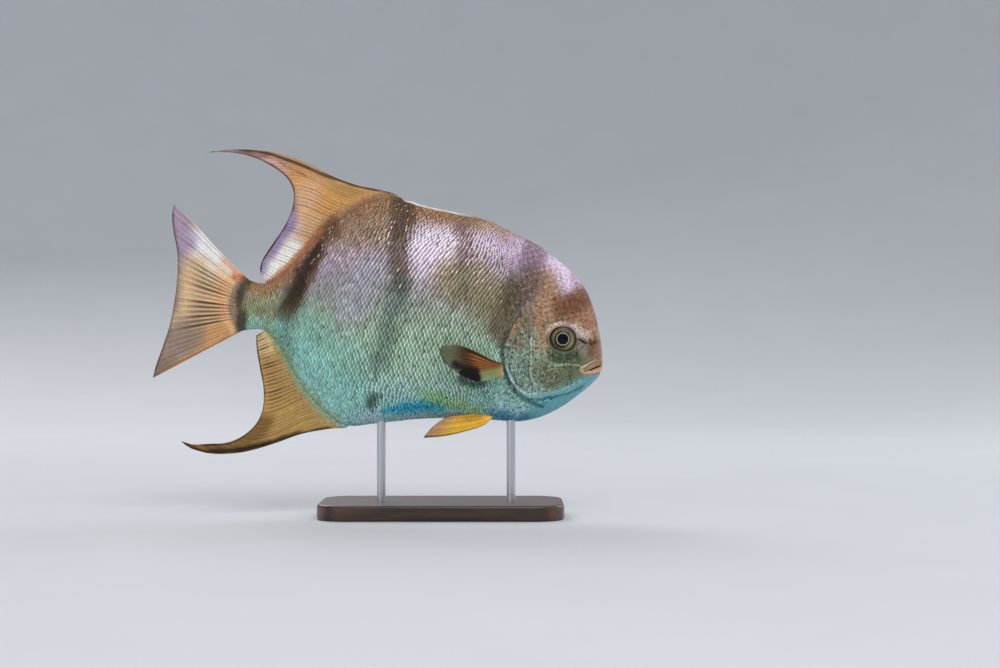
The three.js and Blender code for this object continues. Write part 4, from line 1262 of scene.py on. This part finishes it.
def foldedWeb():
    back = np.linspace(crest["from"] - 2, crest["to"] + 1, 100)
    level = np.linspace(0, 1, 6)
    standing = between(back, back[0], back[0] + 8) * (1 - between(back, back[-1] - 9, back[-1]))
    saw = ((back - crest["from"]) / (crest["to"] - crest["from"]) * crest["spines"]) % 1
    high, notch = crest["webRise"]
    sunk = 0.8
    rise = standing * (high - notch * saw) + sunk
    height = crestTop(back)[:, None] - sunk + rise[:, None] * level
    thin, foot = crest["webHalf"]
    out = (thin + foot * (1 - level) ** 1.5) * np.sqrt(1 - level**8)
    places = np.stack([back[:, None] + 0 * level, height, np.broadcast_to(out, height.shape)], -1)
    # the web is pale at the top, partly a painted highlight along the ridge, and darker at its foot
    colour = mixIn(hexColour(crest["webFoot"]) + 0 * places, hexColour(crest["web"]), smooth(level * 1.3))
    colour = crestTint(back, colour)
    along = np.broadcast_to(np.linspace(0, 1, len(back))[:, None], height.shape)
    for side in sides.values():
        ids = addToSkin(places, "web", side, (along, np.broadcast_to(level, height.shape)), colour)
        addFaces(gridFaces(ids, side < 0), "fins")


def buildSkin():
    stations, places = bodyBlocks()
    unpairedFins(stations, places)
    pairedFin("pectoral", paintPectoral)
    pairedFin("pelvic", paintPelvic)
    for index in range(crest["spines"]):
        foldedSpine(index)
    foldedWeb()
    made = meshFrom("skin", np.vstack(skin["places"]), skin["faces"],
                    {"pattern": np.vstack(skin["pattern"]), "rayPlace": np.vstack(skin["rayPlace"])},
                    np.vstack(skin["uv"]), [skinMaterial(), finMaterial()], np.concatenate(skin["finish"]))
    weld(made)
    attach(made, "root")
    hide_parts("head", "upper_lip", "lower_jaw", "trunk", "tail_stalk", "dorsal_fin_spines",
                "dorsal_fin", "anal_fin", "tail_fin", "gill_cover_right", "gill_cover_left",
                "pectoral_fin_right", "pectoral_fin_left", "pelvic_fin_right", "pelvic_fin_left")
    print("skin:", len(made.data.vertices), "vertices")


# The coat of scales: solid plates in rows, each over the root of the next.
scales = {
    "alongPitch": 3.7,          # mm from scale to scale along a row, at the middle of the flank
    "rowPitch": 3.65,           # mm from row to row
    "reach": (-0.9, 0.75),      # root and tip, in along pitches
    "halfHeight": 0.76,         # in row pitches
    "clear": 0.16,              # mm that the root lies above the skin
    "tilt": 0.5,                # mm that the tip stands above the root
    "bulge": 0.05,              # mm that the sides lie lower than the middle
    "edge": 0.14,               # mm of thickness
    "rowCrowding": 0.28,        # how much closer rows lie at the ridge and the keel
    "lean": [(-70, -12), (-20, -6), (20, 4), (55, 20), (105, 26)],     # degrees that a tip leans, by height
    "throatLean": 22,           # degrees less on the throat
    # the bands are painted shade at the root, where the plate ahead covers it, and a painted highlight near
    # the tip
    "bands": [(0.0, 0.4), (0.42, 0.45), (0.58, 0.65), (0.8, 0.9), (0.9, 1.45), (1.0, 1.4)],   # root to tip
    "sideShade": 0.05,
    "shine": "#fff4e6", "goldShine": "#ffd591",
}
crowding = curveThrough([       # how much smaller scales are, by the distance behind the snout
    (-2, 2.75), (40, 2.6), (62, 2.3), (80, 1.8), (100, 1.3), (130, 1.05), (225, 1.0),
    (262, 1.08), (290, 1.3), (310, 1.5), (326, 1.7)])
coatChart = {"back": (-2, 328), "arc": (-116, 120), "margin": 0.01, "patch": 0.003}     # one patch a scale
tableStep = 0.5                 # mm


# The skin's places and normals on a table of back and arc length from the widest line. Past the ridge and the
# keel the table carries on down the other side.
def surfaceTable():
    backs = np.arange(-1.2, 326.3, tableStep)
    arcs = np.arange(-128, 128 + tableStep, tableStep)
    angle = np.linspace(-math.pi / 2, math.pi / 2, 481)
    angles = np.empty((len(backs), len(arcs)))
    mirrored = np.empty_like(angles)
    edges = np.empty((len(backs), 2))
    for k, back in enumerate(backs):
        ring = bodyPlace(back, angle)
        arc = np.concatenate([[0], np.cumsum(np.linalg.norm(np.diff(ring, axis=0), axis=1))])
        arc -= np.interp(0, angle, arc)
        low, high = arc[0], arc[-1]
        folded = np.where(arcs > high, 2 * high - arcs, np.where(arcs < low, 2 * low - arcs, arcs))
        angles[k] = np.interp(folded, arc, angle)
        mirrored[k] = np.where((arcs > high) | (arcs < low), -1, 1)
        edges[k] = low, high
    grid = np.broadcast_to(backs[:, None], angles.shape)
    places = skinPlace(grid, angles)
    normals = bodyNormal(grid, angles)
    places[..., 2] *= mirrored
    normals[..., 2] *= mirrored
    return {"backs": backs, "arcs": arcs, "places": places, "normals": normals, "edges": edges}


def readTable(table, back, arc, key="places"):
    x = np.clip((back - table["backs"][0]) / tableStep, 0, len(table["backs"]) - 1.001)
    y = np.clip((arc - table["arcs"][0]) / tableStep, 0, len(table["arcs"]) - 1.001)
    i, j = x.astype(int), y.astype(int)
    fx, fy = (x - i)[..., None], (y - j)[..., None]
    grid = table[key]
    return ((grid[i, j] * (1 - fx) + grid[i + 1, j] * fx) * (1 - fy)
            + (grid[i, j + 1] * (1 - fx) + grid[i + 1, j + 1] * fx) * fy)


# Roots of the scales on one side. Rows keep level along the flank, close up towards the stalk and the snout,
# and crowd at the ridge and the keel. Each root holds its back and arc, its row's slope, the length of skin
# to a mm of back, the size along and across, and the share of the way from the widest line to the edge.
def scaleRoots(table):
    backs = np.arange(2.0, 325.5, 1.0)
    low = np.interp(backs, table["backs"], table["edges"][:, 0])
    high = np.interp(backs, table["backs"], table["edges"][:, 1])
    crowd = crowding(backs)
    arcs = np.linspace(-1.02, 1.02, 321)
    arc = arcs * np.where(arcs > 0, high[:, None], -low[:, None])
    level = crowd[:, None] * arc * (1 + scales["rowCrowding"] * np.abs(arcs) ** 4)
    pitch = scales["rowPitch"]
    found = []
    for row in range(math.floor(level.min() / pitch), math.ceil(level.max() / pitch) + 1):
        target = row * pitch
        inside = (level[:, 0] < target) & (level[:, -1] > target)
        if inside.sum() < 3:
            continue
        rowArc = np.array([np.interp(target, level[k], arc[k]) for k in range(len(backs))])
        share = np.abs(rowArc) / np.where(rowArc > 0, high, -low)
        step = np.linalg.norm(np.gradient(readTable(table, backs, rowArc), axis=0), axis=1)
        size = 1 / (crowd * (1 + 0.55 * between(share, 0.6, 0.95)))
        spread = 1 / (crowd * (1 + scales["rowCrowding"] * 5 * share**4))
        pace = np.cumsum(step / (scales["alongPitch"] * size))
        pace -= np.interp(150, backs, pace)
        wanted = np.arange(math.ceil(pace[0]), pace[-1]) + 0.5 * (row % 2)      # every other row is staggered
        back = np.interp(wanted, pace, backs)
        back = back[np.interp(back, backs, inside.astype(float)) > 0.99]
        known = (rowArc, np.gradient(rowArc), step, size, spread, share)
        found.append(np.stack([back] + [np.interp(back, backs, values) for values in known], -1))
    return np.concatenate(found)


bareParts = {                   # all in mm
    "eye": 13.6, "snout": 9,                  # round the eye's centre, and behind the snout's tip
    "gillAhead": 1.9, "gillBehind": 0.9,      # on the two sides of the gill cover's edge
    "bands": [                                # paths and half widths
        ([(-2, -8), (8, -12), (19, -17)], 9.5), ([(0, 4), (12, 2), (18, -2)], 6.0),
        ([(0, -22), (22, -40), (44, -58), (60, -66)], 7.5), (headLines["nostril"], 3.5),
        (headLines["jawEdge"], 2.2), (headLines["cheekPlate"], 1.1), (headLines["gillSlit"], 2.0)],
}


# Where the head has no scales.
def bareSkin(back, up):
    bare = (eyeReach(back, up) < bareParts["eye"]) | (back < bareParts["snout"])
    for path, width in bareParts["bands"]:
        bare |= fromLine(path, back, up)[0] < width
    distance, side, _ = fromLine(headLines["gillCover"], back, up)
    return bare | ((distance < bareParts["gillAhead"]) & (side < 0)) | (distance < bareParts["gillBehind"])


# The template of one plate: points in rows from root to tip and columns across, in shares, and then the rim's
# lower edge, with its faces, its base and the points that a glint lights up.
def plateTemplate(rows, widths, columns):
    xx, yy = np.meshgrid(rows, np.linspace(-1, 1, columns), indexing="ij")
    width = np.array(widths)[:, None]
    top = np.stack([xx - 0.14 * yy**2 * xx**2, yy * width, np.ones_like(xx)], -1)
    ids = numbered(top)
    top = top.reshape(-1, 3)
    rim = np.concatenate([ids[0, :-1], ids[:-1, -1], ids[-1, :0:-1], ids[:0:-1, 0]])
    lower = xx.size + np.arange(len(rim))
    around = np.stack([rim, np.roll(rim, -1), np.roll(lower, -1), lower], -1)
    middle, wide = columns // 2, columns // 4
    return {"points": np.vstack([top, top[rim] * [1, 1, 0]]),
            "faces": np.vstack([gridFaces(ids, True), around]), "base": lower[None, ::-1],
            "glint": ids[-2:, middle - wide:middle + wide + 1].ravel()}


largePlate = plateTemplate([0.0, 0.42, 0.58, 0.8, 0.9, 1.0], [0.7, 0.95, 1.0, 1.0, 0.95, 0.82], 5)
smallPlate = plateTemplate([0.0, 0.72, 1.0], [0.8, 1.0, 0.75], 3)


# How bright each vertex of each plate is: painted shade at the root, under the plate ahead, and at the sides,
# with a painted highlight near the tip.
def plateLightAndShade(template, contrast):
    x, y, _ = template["points"].T
    bands = stepsThrough(scales["bands"], x) * (1 - scales["sideShade"] * y**2)
    return 1 + (bands - 1) * contrast[:, None]


# Each plate's own data for the finish: its share along and across, and how dull it is.
def plateSpots(template, dullness):
    x, y, _ = template["points"].T
    shape = (len(dullness), len(x))
    return np.stack([np.broadcast_to(x, shape), np.broadcast_to(y, shape),
                     np.broadcast_to(dullness[:, None], shape)], -1)


# Each plate's patch of the unwrap, about the place of its root.
def platePatches(template, roots):
    x, y, _ = template["points"].T
    return roots[:, None] + np.stack([x - 0.5, y * 0.5], -1) * coatChart["patch"]


def platesFrom(name, places, colour, dullness, uv, template, side, finish):
    quads, base = template["faces"], template["base"]
    ids = np.arange(len(places))[:, None, None] * places.shape[1]
    made = meshFrom(name, toWorld(places).reshape(-1, 3),
                    [(ids + quads).reshape(-1, 4), (ids + base).reshape(-1, base.shape[1])],
                    {"pattern": toLinear(colour).reshape(-1, 3),
                     "scalePlace": plateSpots(template, dullness).reshape(-1, 3)},
                    uv.reshape(-1, 2), [finish])
    if side < 0:
        made.data.flip_normals()
    made.data.set_sharp_from_angle(angle=math.radians(50))
    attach(made, "root")
    triangles = len(places) * (2 * len(quads) + base.shape[1] - 2)
    print(name + ":", len(places), "scales,", triangles, "triangles")


# The colours of the scales from the body's own, each a little different, with each plate's painted shade and
# highlight, and a painted glint on some.
def scaleColours(rng, template, back, up, tint):
    head = 1 - between(back, 80, 110)
    cheek = head * (1 - between(up, 0, 25))
    rear = between(back, 200, 240) * (1 - between(back, 270, 290))
    belly = 1 - between(up, -70, -40)
    # how strong each plate's painted shade and highlight are
    contrast = 0.78 + 0.12 * between(up, 30, 75) - 0.32 * rear
    contrast = contrast - 0.15 * belly - head * (0.1 + 0.28 * between(up, 5, 30))
    gain = rng.normal(1.06, 0.07 + 0.05 * head + 0.05 * cheek) + 0.09 * head * unevenness(back, up, 4, 21)
    colour = tint[:, None] * (gain[:, None] * plateLightAndShade(template, np.clip(contrast, 0.2, 1)))[..., None]
    besideEye = np.exp(-(((back - 54) / 15) ** 2) - ((up + 4) / 24) ** 2)
    sparkle = 0.13 * between(up, 25, 70) * (1 - head) + head * (0.05 + 0.3 * besideEye)
    glint = rng.uniform(0, 1, len(back)) < sparkle
    golden = np.maximum(between(up, 84, 102), 0.5 * head * (1 - between(up, 50, 62)))
    shine = mixIn(hexColour(scales["shine"]), hexColour(scales["goldShine"]), golden)
    strength = 0.4 if template is smallPlate else 0.95
    for vertex in template["glint"]:
        colour[glint, vertex] += strength * (shine[glint] - colour[glint, vertex])
    return np.clip(colour, 0, 1)


def buildScales(name, side, roots, table, finish, template):
    rng = np.random.default_rng(sum(map(ord, name)))
    count = len(roots)
    back, arc, slope, step, size, spread, share = roots.T
    loose = 1 + 0.9 * between(share, 0.45, 0.8)
    back = back + loose * rng.normal(0, 0.07, count) * scales["alongPitch"] * size
    arc = arc + loose * rng.normal(0, 0.035, count) * scales["rowPitch"] * spread
    up = readTable(table, back, arc)[:, 1]
    x, y, top = template["points"].T
    start, end = scales["reach"]
    length = scales["alongPitch"] * size * rng.uniform(0.96, 1.05, count)
    height = scales["halfHeight"] * scales["rowPitch"] * spread * rng.uniform(0.92, 1.08, count)
    height = height * (1 - 0.1 * between(share, 0.5, 0.9))
    throat = between(-up, 35, 60) * (1 - between(back, 95, 130))
    lean = stepsThrough(scales["lean"], up) - scales["throatLean"] * throat + rng.normal(0, 4, count)
    lean = np.tan(np.radians(lean))
    along = (start + (end - start) * x) * length[:, None] - (lean * height)[:, None] * y * x
    plateBack = back[:, None] + along / step[:, None]
    plateArc = arc[:, None] + slope[:, None] * (plateBack - back[:, None]) + y * height[:, None]
    scale = size[:, None]
    lift = scales["clear"] * scale + scales["tilt"] * x * scale * rng.uniform(0.9, 1.12, count)[:, None]
    lift = lift - scales["bulge"] * scale * y**2 * (0.5 + 0.5 * x)
    lift = np.where(top > 0, lift, lift - scales["edge"] * scale - 0.02)
    normals = readTable(table, plateBack, plateArc, "normals")
    places = (readTable(table, plateBack, plateArc) + normals * lift[..., None]) * [1, 1, side]
    tint = paintBody(back + 0.3 * scales["alongPitch"] * size, up)
    colour = scaleColours(rng, template, back, up, tint)
    margin = coatChart["margin"]
    rootUv = [margin + (1 - 2 * margin) * (values - low) / (high - low)
              for values, (low, high) in ((back, coatChart["back"]), (arc, coatChart["arc"]))]
    uv = platePatches(template, np.stack(rootUv, -1))
    platesFrom(name, places, colour, rng.uniform(0, 1, count), uv, template, side, finish)


# Small scales run out over the feet of the unpaired fins. reach is how far, in mm, by the share along the
# root, and uv is where the fin's band of the unwrap starts.
finScales = {
    "dorsal": {"reach": [(0, 4), (0.08, 15), (0.4, 18), (0.68, 6), (1, 2.5)], "uv": 0.02},
    "anal": {"reach": [(0, 4), (0.1, 13), (0.5, 12), (0.85, 7), (1, 4)], "uv": 0.35},
    "tail": {"reach": [(0, 8), (0.2, 16), (0.5, 21), (0.8, 16), (1, 8)], "uv": 0.68},
}
finScale = {"pitch": 1.75, "rowPitch": 1.5, "rows": 16, "length": 1.9, "half": 0.95,
            "clear": 0.05, "tilt": 0.2, "bulge": 0.12, "edge": 0.08}      # mm, and a number of rows


# The middle of an unpaired fin's web and the place on one of its faces. The right face is given mirrored, as
# a face of the left side.
def finFace(name, u, v, side):
    fin = fins[name]
    root = finRootAt(name, u)
    middle = finMiddle(fin, u, v, root * [1, 1, 0])
    half = finHalf(fin, u, v, root, root[..., 2])
    return middle, middle * [1, 1, side] + half[:, None] * [0, 0, 1]


# Each root's ray share, share of the ray's length, and share of the way to the last scale.
def finScaleRoots(name):
    share = np.linspace(0, 1, 400)
    root = finRootAt(name, share)
    arc = np.concatenate([[0], np.cumsum(np.linalg.norm(np.diff(root[:, :2], axis=0), axis=1))])
    found = []
    for row in range(finScale["rows"]):
        distance = (row + 0.35) * finScale["rowPitch"]
        wanted = np.arange(0.5 + 0.5 * (row % 2), arc[-1] / finScale["pitch"]) * finScale["pitch"]
        u = np.interp(wanted, arc, share)
        length = rayLength(fins[name], u, finRootAt(name, u) * [1, 1, 0])
        reach = stepsThrough(finScales[name]["reach"], u)
        keep = (distance < reach) & (u > 0.01) & (u < 0.99)
        found.append(np.stack([u, distance / length, distance / reach], -1)[keep])
    return np.concatenate(found)


def unit(vectors):
    return vectors / np.linalg.norm(vectors, axis=-1, keepdims=True)


def buildFinScales(sideName, side, finish):
    rng = np.random.default_rng(40 + side)
    x, y, top = smallPlate["points"].T
    pieces = {"places": [], "colour": [], "uv": []}
    for name, plan in finScales.items():
        roots = finScaleRoots(name)
        u, v, run = (roots + rng.normal(0, 1, roots.shape) * [0.0012, 0.002, 0]).T
        middle, face = finFace(name, u, v, side)
        outward = unit(finFace(name, u, v + 0.01, side)[1] - face)
        across = unit(finFace(name, u + 0.005, v, side)[1] - face)
        normal = unit(np.cross(outward, across))
        normal *= np.sign(normal[:, 2:])
        across = np.cross(normal, outward)
        size = (1 - 0.45 * run) * rng.uniform(0.9, 1.1, len(u))
        lift = finScale["tilt"] * x + finScale["clear"] - finScale["bulge"] * y**2
        lift = np.where(top > 0, lift, lift - finScale["edge"])
        size = size[:, None, None]
        place = (face[:, None] + outward[:, None] * ((x - 0.35) * finScale["length"])[:, None] * size
                 + across[:, None] * (y * finScale["half"])[:, None] * size
                 + normal[:, None] * lift[:, None] * size)
        tint = paintFin(name, u, v, middle)
        gain = rng.normal(1.12, 0.08, len(u))
        shade = plateLightAndShade(smallPlate, np.full(len(u), 0.45))
        pieces["colour"].append(np.clip(tint[:, None] * (gain[:, None] * shade)[..., None], 0, 1))
        pieces["places"].append(place)
        rootUv = np.stack([0.02 + 0.96 * u, plan["uv"] + 0.3 * v], -1)
        pieces["uv"].append(platePatches(smallPlate, rootUv))
    places, colour, uv = (np.concatenate(pieces[key]) for key in ("places", "colour", "uv"))
    dullness = rng.uniform(0, 1, len(places))
    places = places * [1, 1, side]
    platesFrom("scales_fins_" + sideName, places, colour, dullness, uv, smallPlate, side, finish)


coatPieces = {                  # where each piece starts and ends behind the snout, and its kind of plate
    "head": (-10, 92, smallPlate),
    "shoulder": (92, 160, largePlate),
    "flank": (160, 225, largePlate),
    "rear": (225, 265, largePlate),
    "stalk": (265, 400, smallPlate),
}


def buildCoat():
    table = surfaceTable()
    print("surface table ready")
    roots = scaleRoots(table)
    place = readTable(table, roots[:, 0], roots[:, 1])
    roots = roots[~bareSkin(place[:, 0], place[:, 1]) & (roots[:, 6] < 0.985)]
    finish = scaleMaterial()
    for sideName, side in sides.items():
        for part, (start, end, template) in coatPieces.items():
            chosen = (roots[:, 0] >= start) & (roots[:, 0] < end)
            buildScales(f"scales_{part}_{sideName}", side, roots[chosen], table, finish, template)
        buildFinScales(sideName, side, finish)


# The eyes: rings of colour on a flattened ball, with a dark back.
eyeRings = [                    # radius in mm, height against the ball's surface, colour
    (0.0, 0.1, "#020203"), (2.5, 0.05, "#020203"), (4.5, -0.1, "#030303"), (5.0, -0.35, "#060504"),
    (5.2, -0.4, "#9a9273"), (5.5, -0.15, "#e2dabc"), (5.85, -0.2, "#4c4730"), (6.2, -0.35, "#1c190f"),
    (7.2, -0.4, "#201d12"), (7.8, -0.4, "#55553e"), (8.3, -0.4, "#747660"), (8.8, -0.5, "#4a4624"),
    (9.6, -0.3, "#64591f"), (10.3, -0.15, "#483c17"), (11.0, -0.05, "#332a18"), (11.6, 0.0, "#2a2315"),
    (12.3, 0.0, "#1c1810")]
eyeTones = {"back": "#14120d", "paleFront": "#a4ab95"}


def buildEye(sideName, side, finish):
    flank = bodyPlace(eye["back"], np.linspace(-1.5, 1.5, 2001))
    nearest = flank[np.argmin(np.abs(flank[:, 1] - eye["up"]))]
    middle = np.array([eye["back"], eye["up"], nearest[2] + body["coatDepth"] - eye["sink"]])
    radius = np.concatenate([np.linspace(0, 11.6, 70), [12.0, 12.3, 12.45]])
    dome = eye["depth"] * np.sqrt(1 - (radius / eye["radius"]) ** 2)
    relief = stepsThrough([ring[:2] for ring in eyeRings], radius)
    tint = colourRamp([(ring[0], ring[2]) for ring in eyeRings], radius)
    turn = np.linspace(0, 2 * math.pi, 97)
    profile = np.concatenate([radius, radius[::-1]])      # out over the front and back in behind it
    places = middle + turned(profile, np.concatenate([dome + relief, -dome[::-1]]), turn)
    tint = np.concatenate([tint, 0 * tint + hexColour(eyeTones["back"])])[:, None]
    # the iris is flecked, and paler towards the snout
    fleck = 0.16 * np.sin(turn * 23 + 1.1) * np.sin(turn * 7) + 0.22 * np.sin(turn * 2 + 0.6)
    iris = bump(profile, 6.2, 10.2, 0.5)[:, None]
    colours = np.clip(tint * (1 + fleck * iris)[..., None], 0, 1)
    colours = mixIn(colours, hexColour(eyeTones["paleFront"]), 0.38 * iris * between(-np.cos(turn), 0.2, 0.9))
    # the front fills the left half of the unwrap and the back the right half
    half = np.where(np.arange(len(profile)) < len(radius), 0.25, 0.75)[:, None]
    wide, high = eye["unwrap"]
    uv = np.stack([half + profile[:, None] / wide * np.cos(turn),
                   0.5 + profile[:, None] / high * np.sin(turn)], -1)
    made = meshFrom("eyeball_" + sideName, toWorld(places * [1, 1, side]).reshape(-1, 3),
                    [gridFaces(numbered(places), side > 0)],
                    {"pattern": toLinear(colours).reshape(-1, 3)}, uv.reshape(-1, 2), [finish])
    weld(made)
    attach(made, "root")
    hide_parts("eye_" + sideName)


# The stand, in mm: a flat base with rounded corners and edges, and two plain rods.
stand = {"length": 220, "width": 112, "thickness": 14, "cornerRadius": 26, "cornerSteps": 24,
         "edgeRound": 2.5, "rodRadius": 4, "rodEnd": 2}


def buildBase(finish):
    cornerRadius, rounding, top = stand["cornerRadius"], stand["edgeRound"], stand["thickness"]
    steps = 4 * stand["cornerSteps"]
    angle = np.linspace(0, 2 * math.pi, steps + 1)[:-1] + math.pi / steps
    corner = np.stack([np.sign(np.cos(angle)) * (stand["length"] / 2 - cornerRadius),
                       np.sign(np.sin(angle)) * (stand["width"] / 2 - cornerRadius), 0 * angle], -1)
    arc = np.linspace(0, math.pi / 2, 7)
    rise = rounding * (1 - np.cos(arc))
    draw = rounding * (1 - np.sin(arc))
    flat = [cornerRadius - 1e-3, 12, rounding + 1]      # rings on the underside, and in turn on the top
    inset = np.concatenate([flat, draw, rise, flat[::-1]])
    height = np.concatenate([[0, 0, 0], rise, top - draw, [top, top, top]])
    outline = corner + turned(cornerRadius - inset, height, angle)
    ids = numbered(outline)
    made = meshFrom("stand_base_wood", outline.reshape(-1, 3) * mm,
                    wallAndEnds(np.concatenate([ids, ids[:, :1]], 1)), material=[finish])
    made.data.set_sharp_from_angle(angle=math.radians(60))
    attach(made, "root")
    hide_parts("stand_base")


# The rods stand where their solids do.
def dressRods(finish):
    for name in ("stand_rod_front", "stand_rod_rear"):
        low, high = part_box(name)
        centre = (low + high) / 2
        end = stand["rodEnd"] * mm
        levels = [low.z, low.z + end, high.z - end, high.z]
        wall = turned([stand["rodRadius"] * mm] * len(levels), levels, np.linspace(0, 2 * math.pi, 41))
        places = wall + [centre.x, centre.y, 0]
        made = meshFrom(name + "_steel", places.reshape(-1, 3), wallAndEnds(numbered(places)),
                        material=[finish])
        weld(made)
        made.data.set_sharp_from_angle(angle=math.radians(50))
        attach(made, "root")
        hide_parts(name)


addCamera()
addLights()
stage()
print("stage ready")
buildSkin()
buildCoat()
eyeFinish = eyeMaterial()
for sideName, side in sides.items():
    buildEye(sideName, side, eyeFinish)
print("eyes ready")
buildBase(woodMaterial())
dressRods(steelMaterial())
print("stand ready")
